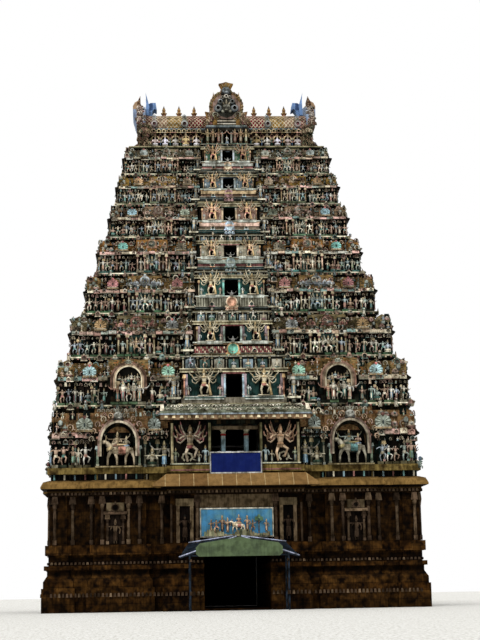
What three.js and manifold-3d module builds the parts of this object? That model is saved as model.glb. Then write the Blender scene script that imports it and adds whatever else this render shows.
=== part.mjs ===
// A nine-storeyed South Indian temple gateway tower (gopuram), modelled at one half of its real size.
// Millimetres, +Z up. The long front face looks along -Y, and the origin is on the ground at the
// middle of the plan. Granite base with a gateway through it, eight hollow brick-and-plaster storeys
// (talas) that step inwards, and a barrel-vaulted roof with end gables, a front and a back gable
// and a row of pot finials on its ridge.
import * as THREE from "three";
import { ConvexGeometry } from "three/addons/geometries/ConvexGeometry.js";
import { mergeVertices } from "three/addons/utils/BufferGeometryUtils.js";
import Module from "manifold-3d";

const wasm = await Module();
wasm.setup();

// Driving dimensions of the granite base.
const BASE_HALF_WIDTH = 7600;
const BASE_HALF_DEPTH = 4800;
const PLINTH_TOP = 2700;
const PLINTH_CAP = 190;
const PLINTH_FOOT = 330;
const BASE_WALL_TOP = 4700;
const BASE_EAVE_TOP = 5340;
const FIRST_FLOOR = 5850;
const PASSAGE_HALF_WIDTH = 1350;
const PASSAGE_HEIGHT = 2900;
const THRESHOLD = 80;
const GATE_BAY_HALF_WIDTH = 2700;
const GATE_BAY_PROJECTION = 500;
const GATE_EAVE_FOOT = 4985;
const GATE_EAVE_TOP = 5510;
const GATE_EAVE_HALF = 3400;

// Driving dimensions of the storeys above it.
const SECOND_FLOOR = 8444;
const SECOND_HEIGHT = 2104;
const HEIGHT_RATIO = 0.93;
const SECOND_HALF_DEPTH = 4640;
const DEPTH_SLOPE = 0.225;
const STOREYS = 8;
const FLOOR_THICKNESS = 120;
const LEDGE = 150;
const RECESS = 130;
const SHALA_PROJECTION = 120;
const BAY_PROJECTION = 330;

// Half widths of the storeys from the first one up, and of the neck. The tower's sides curve inwards.
const HALF_WIDTHS = [7540, 7300, 6770, 6145, 5630, 5145, 4810, 4510, 4230];

// Thickness of the walls, with what it loses for each millimetre of height over the second floor.
const FIRST_WALL = 980;
const UPPER_WALL = 966;
const WALL_SLOPE = 0.0325;

// Shares of a storey's height: top of the figure band, top of the eave above it, and the
// band of the bay over its window, where the frieze begins.
const BAND_SHARE = 0.48;
const EAVE_SHARE = 0.56;
const FRIEZE_SHARE = 0.84;

// Shares of a storey's half width where the projecting bays of the long face begin and end.
const SHALA = [0.48, 0.72];
const FIRST_SHALA = [0.5, 0.768];
const BASE_SHALA = [0.485, 0.76];
const CORNER_IN = 0.91;
const PANJARA_CENTRE = 0.375;
const KUTA_CENTRE = 0.815;

// Window sill and head of each storey as shares of its height, from the first storey up.
const WINDOWS = [
  [0.03, 0.635],
  [0.12, 0.585],
  [0.28, 0.63],
  [0.36, 0.75],
  [0.36, 0.68],
  [0.4, 0.78],
  [0.4, 0.74],
  [0.34, 0.73],
];

// Half widths of the middle bays and of their windows. From the third storey up both shrink evenly
// with height, and these are their values at the second floor and their loss for each millimetre.
const FIRST_BAY_HALF = 2700;
const SECOND_BAY_HALF = 2190;
const UPPER_BAY_HALF = 1746;
const BAY_SLOPE = 0.0588;
const FIRST_WINDOW_HALF = 960;
const UPPER_WINDOW_HALF = 327;
const WINDOW_SLOPE = 0.011;

// Half width of the arched gable on a wagon-roofed shrine as a share of the shrine's own.
const SECOND_GABLE_SHARE = 0.7;
const UPPER_GABLE_SHARE = 0.36;

// The great arches of the first storey's side bays, and their niches.
const ARCH_CENTRE = 4800;
const ARCH_HALF = 755;
const ARCH_RIM = 142;
const ARCH_SPRING = 6850;
const ARCH_CROWN = 7700;
const ARCH_PROUD = 100;
const NICHE_DEPTH = 200;

// The horseshoe niche on the roll under each upper window.
const FOOT_NICHE_SHARE = 0.13;
const FIRST_BAY_PROJECTION = 400;

// Driving dimensions of the roof.
const ROOF_HALF_LENGTH = 3640;
const VAULT_HALF_DEPTH = 1900;
const VAULT_RISE = 990;
const VAULT_SHELL = 180;
const NECK_HEIGHT = 640;
const ROOF_EAVE = 280;
const GABLE_RADIUS = 770;
const GABLE_CENTRE_RISE = 870;
const FINIAL_HEIGHT = 660;
const FINIAL_PLACES = [-2790, -2090, -1390, 0, 1390, 2090, 2790];

// The small gap kept where a curved piece is cut by its neighbour.
const GAP = 0.4;

const STONE = { color: 0x8a6a45, roughness: 0.9, metalness: 0 };
const PLASTER = { color: 0x9a8f78, roughness: 0.85, metalness: 0 };
const PARAPET_PAINT = { color: 0x7c8f80, roughness: 0.8, metalness: 0 };
const FLOOR_PAINT = { color: 0xd8cba6, roughness: 0.8, metalness: 0 };
const ROOF_PAINT = { color: 0xb0705c, roughness: 0.8, metalness: 0 };
const GOLD = { color: 0xb48a3c, roughness: 0.45, metalness: 0.6 };
const BLUE_PAINT = { color: 0x1c2a66, roughness: 0.5, metalness: 0 };
const GREEN_PAINT = { color: 0x4c6148, roughness: 0.5, metalness: 0 };
const RELIEF_PAINT = { color: 0x6fa8c0, roughness: 0.7, metalness: 0 };
const STEEL_PAINT = { color: 0x55698c, roughness: 0.5, metalness: 0.3 };

// Turns a closed three.js geometry into a solid that can be joined and cut.
function toSolid(geometry) {
  const bare = new THREE.BufferGeometry();
  bare.setAttribute("position", geometry.getAttribute("position"));
  if (geometry.index) bare.setIndex(geometry.index);
  const merged = mergeVertices(bare, 1e-3);
  const corners = [];
  const index = merged.index.array;
  for (let i = 0; i < index.length; i += 3) {
    const [a, b, c] = [index[i], index[i + 1], index[i + 2]];
    if (a !== b && b !== c && a !== c) corners.push(a, b, c);
  }
  return new wasm.Manifold(
    new wasm.Mesh({
      numProp: 3,
      vertProperties: merged.attributes.position.array,
      triVerts: new Uint32Array(corners),
    }),
  );
}

// Turns a solid back into a geometry for a mesh.
function toGeometry(solid) {
  const { vertProperties, triVerts } = solid.getMesh();
  const geometry = new THREE.BufferGeometry();
  geometry.setAttribute("position", new THREE.BufferAttribute(vertProperties, 3));
  geometry.setIndex(new THREE.BufferAttribute(triVerts, 1));
  geometry.computeVertexNormals();
  return geometry;
}

// Joins a list of solids.
function join(solids) {
  return solids.reduce((whole, piece) => whole.add(piece));
}

// A box between two corners.
function block(x0, x1, y0, y1, z0, z1) {
  const geometry = new THREE.BoxGeometry(x1 - x0, y1 - y0, z1 - z0);
  geometry.translate((x0 + x1) / 2, (y0 + y1) / 2, (z0 + z1) / 2);
  return toSolid(geometry);
}

function shapeOf(points) {
  return new THREE.Shape(points.map(([u, v]) => new THREE.Vector2(u, v)));
}

function extrusion(points, depth) {
  return new THREE.ExtrudeGeometry(shapeOf(points), { depth, bevelEnabled: false });
}

// An upright prism on a plan outline.
function prismZ(points, z0, z1) {
  return toSolid(extrusion(points, z1 - z0).translate(0, 0, z0));
}

// A profile of [y, z] points drawn out along X.
function prismX(points, x0, x1) {
  const turn = new THREE.Matrix4().makeBasis(
    new THREE.Vector3(0, 1, 0),
    new THREE.Vector3(0, 0, 1),
    new THREE.Vector3(1, 0, 0),
  );
  return toSolid(extrusion(points, x1 - x0).applyMatrix4(turn).translate(x0, 0, 0));
}

// A profile of [x, z] points drawn out along Y.
function prismY(points, y0, y1) {
  const turn = new THREE.Matrix4().makeBasis(
    new THREE.Vector3(1, 0, 0),
    new THREE.Vector3(0, 0, 1),
    new THREE.Vector3(0, -1, 0),
  );
  return toSolid(extrusion(points, y1 - y0).applyMatrix4(turn).translate(0, y1, 0));
}

// A body of revolution about a vertical axis from a profile of [radius, height] points.
function turned(profile, x, y, z, segments, spin = 0) {
  const points = profile.map(([r, h]) => new THREE.Vector2(r, h));
  const geometry = new THREE.LatheGeometry(points, segments);
  geometry.rotateX(Math.PI / 2).rotateZ(spin).translate(x, y, z);
  return toSolid(geometry);
}

// A plan outline swelled out into a rounded roll from z0 up to z0 + lip + rise, flat below.
function roll(points, z0, lip, rise, overhang, segments = 1) {
  const geometry = new THREE.ExtrudeGeometry(shapeOf(points), {
    depth: lip,
    bevelEnabled: true,
    bevelThickness: rise,
    bevelSize: overhang,
    bevelSegments: segments,
  });
  const reach = 2 * BASE_HALF_WIDTH;
  return toSolid(geometry.translate(0, 0, z0)).subtract(
    block(-reach, reach, -reach, reach, z0 - 2 * rise, z0),
  );
}

function rectangle(x0, x1, y0, y1) {
  return [
    [x0, y0],
    [x1, y0],
    [x1, y1],
    [x0, y1],
  ];
}

// Points of an arch: the upper part of an ellipse, closed by its flat foot at height zero.
// A spread over 1 brings the foot in under the widest part, as on a horseshoe arch.
function archPoints(centre, foot, halfWidth, rise, steps, spread = 1) {
  const low = (spread - 1) * (Math.PI / 2);
  const points = [];
  for (let i = 0; i <= steps; i += 1) {
    const turn = -low + ((Math.PI + 2 * low) * i) / steps;
    points.push([
      centre + halfWidth * Math.cos(turn),
      foot + (rise * (Math.sin(turn) + Math.sin(low))) / (1 + Math.sin(low)),
    ]);
  }
  return points;
}

// The stepped plan of a storey: a middle bay, two side bays and the corners on the long faces,
// and a middle bay and the corners on the short ones, pushed out everywhere by an offset.
function stepOutline(plan, offset = 0) {
  const { halfWidth: w, halfDepth: d, bayHalf, projection, shala } = plan;
  const low = offset - RECESS;
  const quarter = [
    [bayHalf + offset, d + projection + offset],
    [bayHalf + offset, d + low],
    [shala[0] * w - offset, d + low],
    [shala[0] * w - offset, d + SHALA_PROJECTION + offset],
    [shala[1] * w + offset, d + SHALA_PROJECTION + offset],
    [shala[1] * w + offset, d + low],
    [CORNER_IN * w - offset, d + low],
    [CORNER_IN * w - offset, d + offset],
    [w + offset, d + offset],
    [w + offset, 0.78 * d - offset],
    [w + low, 0.78 * d - offset],
    [w + low, 0.36 * d + offset],
    [w + SHALA_PROJECTION + offset, 0.36 * d + offset],
  ].map(([x, y]) => [Math.round(x), Math.round(y)]);
  const back = [...quarter].reverse();
  return [
    ...quarter.map(([x, y]) => [x, -y]),
    ...back.map(([x, y]) => [x, y]),
    ...quarter.map(([x, y]) => [-x, y]),
    ...back.map(([x, y]) => [-x, -y]),
  ];
}

// A plan with straight sides and only the middle bay of the long faces stepped out.
function plainOutline(plan, offset = 0) {
  const { halfWidth: w, halfDepth: d, bayHalf, projection } = plan;
  const quarter = [
    [bayHalf + offset, d + projection + offset],
    [bayHalf + offset, d + offset],
    [w + offset, d + offset],
  ];
  const back = [...quarter].reverse();
  return [
    ...quarter.map(([x, y]) => [x, -y]),
    ...back.map(([x, y]) => [x, y]),
    ...quarter.map(([x, y]) => [-x, y]),
    ...back.map(([x, y]) => [-x, -y]),
  ];
}

// Works out one storey's levels, plan and room from the driving dimensions.
function storeyAt(level) {
  const heights = Array.from({ length: STOREYS }, (_, i) =>
    i === 0 ? SECOND_FLOOR - FIRST_FLOOR : SECOND_HEIGHT * HEIGHT_RATIO ** (i - 1),
  );
  const floor = heights.slice(0, level).reduce((sum, h) => sum + h, FIRST_FLOOR);
  const height = heights[level] ?? NECK_HEIGHT;
  const above = Math.max(0, floor - SECOND_FLOOR);
  const halfWidth = HALF_WIDTHS[level];
  const halfDepth = level === 0 ? BASE_HALF_DEPTH - 60 : SECOND_HALF_DEPTH - DEPTH_SLOPE * above;
  const bayHalf = [FIRST_BAY_HALF, SECOND_BAY_HALF][level] ?? UPPER_BAY_HALF - BAY_SLOPE * above;
  const projection = level === 0 ? FIRST_BAY_PROJECTION : BAY_PROJECTION;
  const thickness = level === 0 ? FIRST_WALL : UPPER_WALL - WALL_SLOPE * above;
  const [sill, head] = (WINDOWS[level] ?? [0, 0]).map((share) => Math.round(floor + share * height));
  return {
    name: "tala_" + (level + 1),
    floor: Math.round(floor),
    height,
    top: Math.round(floor + height) - FLOOR_THICKNESS,
    bandTop: Math.round(floor + BAND_SHARE * height),
    eaveTop: Math.round(floor + EAVE_SHARE * height),
    friezeFoot: Math.round(floor + FRIEZE_SHARE * height),
    sill,
    head,
    windowHalf: Math.round(level === 0 ? FIRST_WINDOW_HALF : UPPER_WINDOW_HALF - WINDOW_SLOPE * above),
    roomX: Math.round(halfWidth - RECESS - thickness),
    roomY: Math.round(halfDepth - RECESS - thickness),
    plan: {
      halfWidth,
      halfDepth: Math.round(halfDepth),
      bayHalf: Math.round(bayHalf),
      projection,
      shala: level === 0 ? FIRST_SHALA : SHALA,
    },
  };
}

const storeys = Array.from({ length: STOREYS + 1 }, (_, level) => storeyAt(level));
const neck = storeys[STOREYS];

// Half width and half depth of the plain wall behind a storey's parapet.
function backWall(level) {
  const { halfWidth, halfDepth } = storeys[level + 1].plan;
  return { x: halfWidth - 60, y: halfDepth - 60 };
}

// The outline of a great arch: straight legs up to its spring and a round head.
function greatArchPoints(centre, half, foot, crown) {
  return [
    [centre + half, foot],
    ...archPoints(centre, ARCH_SPRING, half, crown - ARCH_SPRING, 10),
    [centre - half, foot],
  ];
}

// A great arch drawn out between two planes in front of and behind the tower, in all four places.
function greatArches(half, crown, near, far) {
  const foot = FIRST_FLOOR;
  return join(
    [-1, 1].flatMap((side) => {
      const points = greatArchPoints(side * ARCH_CENTRE, half, foot, crown);
      return [prismY(points, -far, -near), prismY(points, near, far)];
    }),
  );
}

// The horseshoe niches on the foot rolls of an upper storey's window bays.
function footNiches(s, face) {
  const half = FOOT_NICHE_SHARE * s.height;
  const points = archPoints(0, s.floor + 0.02 * s.height, half, 2 * half, 8, 1.4);
  return [prismY(points, -face - 130, -face), prismY(points, face, face + 130)];
}

// One storey's walls: the figure band with its eave, the plain wall behind the parapet and the
// projecting window bays, hollowed by the room and opened front and back by the window.
function talaWalls(level) {
  const s = storeys[level];
  const { plan } = s;
  const behind = backWall(level);
  const bayFront = plan.halfDepth + plan.projection;
  const c = plan.bayHalf;
  const eaveRise = s.eaveTop - s.bandTop;
  const eaveLip = Math.round(0.3 * eaveRise);
  const [ex, ey] = [plan.halfWidth + 30, plan.halfDepth + 30];
  const eave = rectangle(-ex, ex, -ey, ey);
  const solids = [
    prismZ(stepOutline(plan), s.floor, s.bandTop),
    roll(eave, s.bandTop, eaveLip, eaveRise - eaveLip, LEDGE),
    prismZ(rectangle(-behind.x, behind.x, -behind.y, behind.y), s.bandTop, s.top),
    block(-c, c, -bayFront, bayFront, s.floor, s.friezeFoot),
  ];
  if (level > 0) {
    const hood = rectangle(-c - 60, c + 60, -bayFront - 60, bayFront + 60);
    const hoodFoot = Math.round(s.head + 0.03 * s.height);
    solids.push(prismZ(hood, hoodFoot, Math.round(hoodFoot + 0.05 * s.height)));
    solids.push(roll(rectangle(-c, c, -bayFront, bayFront), s.floor, 30, Math.round(0.15 * s.height), 90));
  }
  if (level > 1) solids.push(...footNiches(s, bayFront));
  const room = block(-s.roomX, s.roomX, -s.roomY, s.roomY, s.floor - 1, s.top + 1);
  const reach = bayFront + 2 * LEDGE;
  const window = block(-s.windowHalf, s.windowHalf, -reach, reach, s.sill, s.head);
  const whole = join(solids).subtract(room).subtract(window);
  return level === 0 ? withGreatArches(whole, plan.halfDepth) : whole;
}

// The first storey's walls with an arched frame and a shallow niche on each of their side bays.
function withGreatArches(walls, depth) {
  const face = depth + SHALA_PROJECTION;
  const frame = greatArches(ARCH_HALF, ARCH_CROWN, depth - 20, face + ARCH_PROUD);
  const inner = ARCH_CROWN - ARCH_RIM;
  const niche = greatArches(ARCH_HALF - ARCH_RIM, inner, face - NICHE_DEPTH, face + 2 * LEDGE);
  return walls.add(frame).subtract(niche);
}

// Turns a solid-making function's pieces to one of the four faces: 0 front, 1 right, 2 back, 3 left.
function facing(geometry, face) {
  return toSolid(geometry.rotateZ((face * Math.PI) / 2));
}

// A box in a face's own frame: u runs along the face and v outwards from the tower's axis.
function faceBlock(face, u0, u1, v0, v1, z0, z1) {
  const geometry = new THREE.BoxGeometry(u1 - u0, v1 - v0, z1 - z0);
  geometry.translate((u0 + u1) / 2, -(v0 + v1) / 2, (z0 + z1) / 2);
  return facing(geometry, face);
}

// The outline of a miniature shrine: an upright body under a horseshoe arch.
function shrinePoints(centre, half, levels, steps) {
  const { foot, body, top } = levels;
  return [
    [centre + 0.8 * half, foot],
    ...archPoints(centre, body, half, top - body, steps, 1.3),
    [centre - 0.8 * half, foot],
  ];
}

// A miniature shrine whose arched gable looks outwards from a face.
function gableShrine(face, u, half, v0, v1, levels, steps = 4) {
  const turn = new THREE.Matrix4().makeBasis(
    new THREE.Vector3(1, 0, 0),
    new THREE.Vector3(0, 0, 1),
    new THREE.Vector3(0, -1, 0),
  );
  const outline = shrinePoints(u, half, levels, steps);
  return facing(extrusion(outline, v1 - v0).applyMatrix4(turn).translate(0, -v0, 0), face);
}

// A miniature shrine whose wagon roof runs along a face.
function wagonShrine(face, u0, u1, v0, v1, levels, steps = 4) {
  const turn = new THREE.Matrix4().makeBasis(
    new THREE.Vector3(0, 1, 0),
    new THREE.Vector3(0, 0, 1),
    new THREE.Vector3(1, 0, 0),
  );
  const outline = shrinePoints(-(v0 + v1) / 2, (v1 - v0) / 2, levels, steps);
  return facing(extrusion(outline, u1 - u0).applyMatrix4(turn).translate(u0, 0, 0), face);
}

// A square-domed corner shrine.
function cornerShrine(x, y, half, z0, z1) {
  const bodyTop = z0 + 0.36 * (z1 - z0);
  const rise = z1 - bodyTop;
  const dome = [
    [0, 0],
    [1.0, 0],
    [1.1, 0.25 * rise],
    [0.75, 0.68 * rise],
    [0, rise],
  ].map(([r, h]) => [r * half * Math.SQRT2, h]);
  return join([
    block(x - half, x + half, y - half, y + half, z0, bodyTop + 1),
    turned(dome, x, y, bodyTop, 4, Math.PI / 4),
  ]);
}

// One storey's parapet: a low wall all round with miniature shrines standing on the eave.
function talaParapet(level) {
  const s = storeys[level];
  const { plan } = s;
  const behind = backWall(level);
  const wallTop = s.friezeFoot + Math.round(0.04 * s.height);
  const bayFront = plan.halfDepth + plan.projection;
  const ring = prismZ(
    rectangle(-behind.x - 110, behind.x + 110, -behind.y - 110, behind.y + 110),
    s.eaveTop,
    wallTop,
  );
  const shrineTop = s.top - 10;
  const body = Math.round(s.eaveTop + 0.34 * (shrineTop - s.eaveTop));
  const full = { foot: s.eaveTop, body, top: shrineTop };
  const low = { foot: s.eaveTop, body, top: shrineTop - 0.08 * s.height };
  const shrines = [];
  for (const face of [0, 1, 2, 3]) {
    const long = face % 2 === 0;
    const span = long ? plan.halfWidth : plan.halfDepth;
    const inner = (long ? behind.y : behind.x) - 30;
    const outer = (long ? plan.halfDepth : plan.halfWidth) - RECESS / 2;
    const front = outer + SHALA_PROJECTION;
    const [inside, outside] = plan.shala;
    const wagons = long ? [-1, 1].map((side) => (side * (inside + outside) * span) / 2) : [0];
    const wagonHalf = long ? ((outside - inside) * span) / 2 : 0.34 * span;
    const gableShare = level === 1 ? SECOND_GABLE_SHARE : UPPER_GABLE_SHARE;
    const gableHalf = gableShare * (SHALA[1] - SHALA[0]) * 0.5 * plan.halfWidth;
    for (const u of wagons) {
      shrines.push(wagonShrine(face, u - wagonHalf, u + wagonHalf, inner, front, full));
      if (level === 0 && long) continue;
      shrines.push(gableShrine(face, u, gableHalf, (inner + front) / 2, front + 50, full));
    }
    if (long) {
      for (const u of [PANJARA_CENTRE, KUTA_CENTRE].flatMap((share) => [-share * span, share * span])) {
        shrines.push(gableShrine(face, u, 0.045 * span, inner, outer + 20, low));
      }
      const c = plan.bayHalf - 60;
      shrines.push(faceBlock(face, -c, c, inner, bayFront - 60, s.friezeFoot, s.top));
    }
  }
  const half = 0.5 * (1 - CORNER_IN) * plan.halfWidth;
  for (const x of [-1, 1]) {
    for (const y of [-1, 1]) {
      shrines.push(
        cornerShrine(x * (plan.halfWidth - half), y * (plan.halfDepth - half), half, s.eaveTop, shrineTop),
      );
    }
  }
  const bay = block(-plan.bayHalf, plan.bayHalf, -bayFront - 200, bayFront + 200, s.floor, s.friezeFoot);
  const hood = block(
    -plan.bayHalf - 60,
    plan.bayHalf + 60,
    -bayFront - 200,
    bayFront + 200,
    s.floor,
    Math.round(s.head + 0.09 * s.height),
  );
  const core = prismZ(rectangle(-behind.x, behind.x, -behind.y, behind.y), s.floor, s.top + 10);
  const whole = join([ring, ...shrines]).subtract(core).subtract(bay).subtract(hood);
  if (level > 0) return whole;
  const { halfDepth: d } = plan;
  return whole.subtract(greatArches(ARCH_HALF + GAP, ARCH_CROWN + GAP, d - 20, d + 2 * LEDGE));
}

// The slab between two storeys: ceiling of the lower room, floor of the upper one and, outside,
// the narrow ledge that the upper storey's figures stand on.
function talaFloor(level) {
  const s = storeys[level];
  return prismZ(plainOutline(s.plan, LEDGE), s.floor - FLOOR_THICKNESS, s.floor);
}

// The granite plinth on one side of the passage, as a stack of stepped and rounded mouldings.
function plinth(side) {
  const plan = basePlan();
  const courses = [
    [0, 980, PLINTH_FOOT],
    [1480, 1700, 110],
    [1700, 1880, 230],
    [1880, 2300, 60],
    [2300, PLINTH_TOP, PLINTH_CAP],
  ];
  const solids = courses.map(([z0, z1, offset]) => prismZ(stepOutline(plan, offset), z0, z1));
  solids.push(roll(stepOutline(plan, 110), 980, 260, 240, 150));
  return join(solids).subtract(beyondPassage(side));
}

function basePlan() {
  return {
    halfWidth: BASE_HALF_WIDTH,
    halfDepth: BASE_HALF_DEPTH,
    bayHalf: GATE_BAY_HALF_WIDTH,
    projection: GATE_BAY_PROJECTION,
    shala: BASE_SHALA,
  };
}

// What one side of the base leaves out: the passage and everything on its far side.
function beyondPassage(side) {
  const reach = 2 * BASE_HALF_WIDTH;
  const near = side * PASSAGE_HALF_WIDTH;
  const [x0, x1] = side > 0 ? [-reach, near] : [near, reach];
  return block(x0, x1, -reach, reach, -10, BASE_EAVE_TOP);
}

// The pilastered granite wall on one side of the passage.
function baseWall(side) {
  const plan = basePlan();
  const whole = prismZ(stepOutline(plan), PLINTH_TOP, BASE_WALL_TOP);
  return whole.subtract(beyondPassage(side));
}

// The stone beam and ceiling over the passage.
function gatewayLintel() {
  const reach = BASE_HALF_DEPTH + GATE_BAY_PROJECTION;
  return block(-PASSAGE_HALF_WIDTH, PASSAGE_HALF_WIDTH, -reach, reach, PASSAGE_HEIGHT, BASE_WALL_TOP);
}

// The paved threshold that runs the length of the passage.
function gatewayThreshold() {
  const reach = BASE_HALF_DEPTH + GATE_BAY_PROJECTION;
  return block(-PASSAGE_HALF_WIDTH, PASSAGE_HALF_WIDTH, -reach, reach, 0, THRESHOLD);
}

// The heavy curved eave of the granite storey, left flat where the gateway eaves hang on it.
function baseCornice() {
  const plan = basePlan();
  const whole = join([
    prismZ(stepOutline(plan, 120), BASE_WALL_TOP, BASE_WALL_TOP + 280),
    roll(stepOutline(plan, 40), BASE_WALL_TOP + 280, 80, 280, 340, 2),
  ]);
  const face = BASE_HALF_DEPTH + GATE_BAY_PROJECTION;
  const ends = [-1, 1].map((side) => {
    const [y0, y1] = side < 0 ? [-face - 900, -face] : [face, face + 900];
    return block(-GATE_EAVE_HALF, GATE_EAVE_HALF, y0, y1, GATE_EAVE_FOOT, BASE_EAVE_TOP);
  });
  return whole.subtract(join(ends));
}

// The sloping eave over the gateway, front or back.
function gatewayEave(side) {
  const face = BASE_HALF_DEPTH + GATE_BAY_PROJECTION;
  return hippedEave(side, {
    wall: face,
    lipFront: face + 700,
    topFront: face + 200,
    foot: GATE_EAVE_FOOT,
    lip: 70,
    top: GATE_EAVE_TOP,
    lipHalf: GATE_EAVE_HALF,
    topHalf: 2860,
  });
}

// The sloping eave over the first storey's middle bay, front or back.
function firstStoreyEave(side) {
  const { plan } = storeys[0];
  const face = plan.halfDepth + plan.projection;
  return hippedEave(side, {
    wall: face,
    lipFront: face + 760,
    topFront: face + 160,
    foot: 7910,
    lip: 60,
    top: 8380,
    lipHalf: 3140,
    topHalf: 2760,
  });
}

// The frieze and sill course that carries the first plastered storey.
function firstFloor() {
  const plan = basePlan();
  return join([
    prismZ(stepOutline(plan, -60), BASE_EAVE_TOP, BASE_EAVE_TOP + 250),
    prismZ(plainOutline(plan, 120), BASE_EAVE_TOP + 250, FIRST_FLOOR),
  ]);
}

// A deep hipped eave on a bay's front: sloping top, upright lip, flat soffit.
function hippedEave(side, { wall, lipFront, topFront, foot, lip, top, lipHalf, topHalf }) {
  const slope = [
    [-lipFront, foot],
    [-wall, foot],
    [-wall, top],
    [-topFront, top],
    [-lipFront, foot + lip],
  ];
  const ends = [
    [-lipHalf, foot],
    [lipHalf, foot],
    [lipHalf, foot + lip],
    [topHalf, top],
    [-topHalf, top],
    [-lipHalf, foot + lip],
  ];
  const profile = side < 0 ? slope : slope.map(([y, z]) => [-y, z]).reverse();
  return prismX(profile, -lipHalf, lipHalf).intersect(prismY(ends, -lipFront - 10, lipFront + 10));
}

// A sill, two turned columns and a beam that divide the first storey's opening into three.
function columnScreen(side) {
  const s = storeys[0];
  const y = side * (s.plan.halfDepth + s.plan.projection - 260);
  const foot = s.sill;
  const height = s.head - foot;
  const shaft = [
    [0, 0],
    [130, 0],
    [130, 90],
    [100, 120],
    [95, 0.72 * height],
    [125, 0.78 * height],
    [85, 0.82 * height],
    [150, 0.9 * height],
    [150, height - 100],
    [0, height - 100],
  ];
  const half = s.windowHalf;
  return join([
    block(-half, half, y - 110, y + 110, foot, foot + 60),
    block(-half, half, y - 130, y + 130, s.head - 140, s.head),
    ...[-1, 1].map((x) => turned(shaft, x * 480, y, foot + 20, 8)),
  ]);
}

const ridgeBase = neck.floor + NECK_HEIGHT + ROOF_EAVE;

// The walls of the neck storey under the roof, with its small middle niches.
function neckWalls() {
  const x = ROOF_HALF_LENGTH + 60;
  const y = VAULT_HALF_DEPTH - 60;
  const top = neck.floor + NECK_HEIGHT;
  const bayFront = neck.plan.halfDepth + 260;
  const outer = join([
    block(-x, x, -y, y, neck.floor, top),
    block(-900, 900, -bayFront, bayFront, neck.floor, top),
  ]);
  const room = block(-x + 420, x - 420, -y + 380, y - 380, neck.floor - 1, top + 1);
  const door = block(-150, 150, -bayFront - 1, bayFront + 1, neck.floor + 120, top - 80);
  return outer.subtract(room).subtract(door);
}

// The eave slab under the roof.
function roofCornice() {
  const foot = neck.floor + NECK_HEIGHT;
  const x = ROOF_HALF_LENGTH + 60;
  const y = VAULT_HALF_DEPTH - 40;
  return join([
    roll(rectangle(-x, x, -y, y), foot, 50, ROOF_EAVE - 50, 170),
    roll(rectangle(-900, 900, -y - 420, y + 420), foot, 50, ROOF_EAVE - 50, 90),
  ]);
}

function vaultPoints(inset) {
  return archPoints(0, ridgeBase, VAULT_HALF_DEPTH - inset, VAULT_RISE - inset, 14);
}

// The barrel vault as a shell, open at its ends.
function roofVault() {
  const outer = prismX(vaultPoints(0), -ROOF_HALF_LENGTH, ROOF_HALF_LENGTH);
  const inner = prismX(vaultPoints(VAULT_SHELL), -ROOF_HALF_LENGTH - 1, ROOF_HALF_LENGTH + 1);
  return outer.subtract(inner);
}

// A great horseshoe gable on the front or back slope, with its lion-mask crest and side spikes.
function roofGable(side) {
  const foot = ridgeBase;
  const centre = foot + GABLE_CENTRE_RISE;
  const front = VAULT_HALF_DEPTH + 330;
  const rise = GABLE_RADIUS * (1 + Math.SQRT1_2);
  const discFoot = centre - GABLE_RADIUS * Math.SQRT1_2;
  const disc = archPoints(0, discFoot, GABLE_RADIUS, rise, 16, 1.5);
  const pedestal = [
    [-606, foot],
    [606, foot],
    [620, centre - 640],
    [840, centre - 640],
    [960, centre - 215],
    [620, centre - 270],
    [-620, centre - 270],
    [-960, centre - 215],
    [-840, centre - 640],
    [-620, centre - 640],
  ];
  const crest = [
    [-330, centre + 400],
    [330, centre + 400],
    [228, centre + 585],
    [285, centre + 710],
    [205, centre + 855],
    [330, centre + 1095],
    [150, centre + 1130],
    [0, centre + 1180],
    [-150, centre + 1130],
    [-330, centre + 1095],
    [-205, centre + 855],
    [-285, centre + 710],
    [-228, centre + 585],
  ];
  const spikes = [-1, 1].map((x) =>
    prismY(
      [
        [x * 565 - 50, centre + 400],
        [x * 565 + 50, centre + 400],
        [x * 575, centre + 720],
      ],
      front - 200,
      front - 60,
    ),
  );
  const drum = archPoints(0, foot, GABLE_RADIUS - 120, GABLE_CENTRE_RISE + 420, 12, 1.3);
  const whole = join([
    prismY(pedestal, front - 220, front - 30),
    prismY(disc, front - 240, front),
    prismY(crest, front - 260, front - 20),
    ...spikes,
    prismY(drum, 300, front - 120),
  ]);
  const vault = prismX(
    archPoints(0, foot, VAULT_HALF_DEPTH + GAP, VAULT_RISE + GAP, 14),
    -ROOF_HALF_LENGTH,
    ROOF_HALF_LENGTH,
  );
  const facingOut = whole.subtract(vault);
  return side > 0 ? facingOut : toSolid(toGeometry(facingOut).rotateZ(Math.PI));
}

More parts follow.
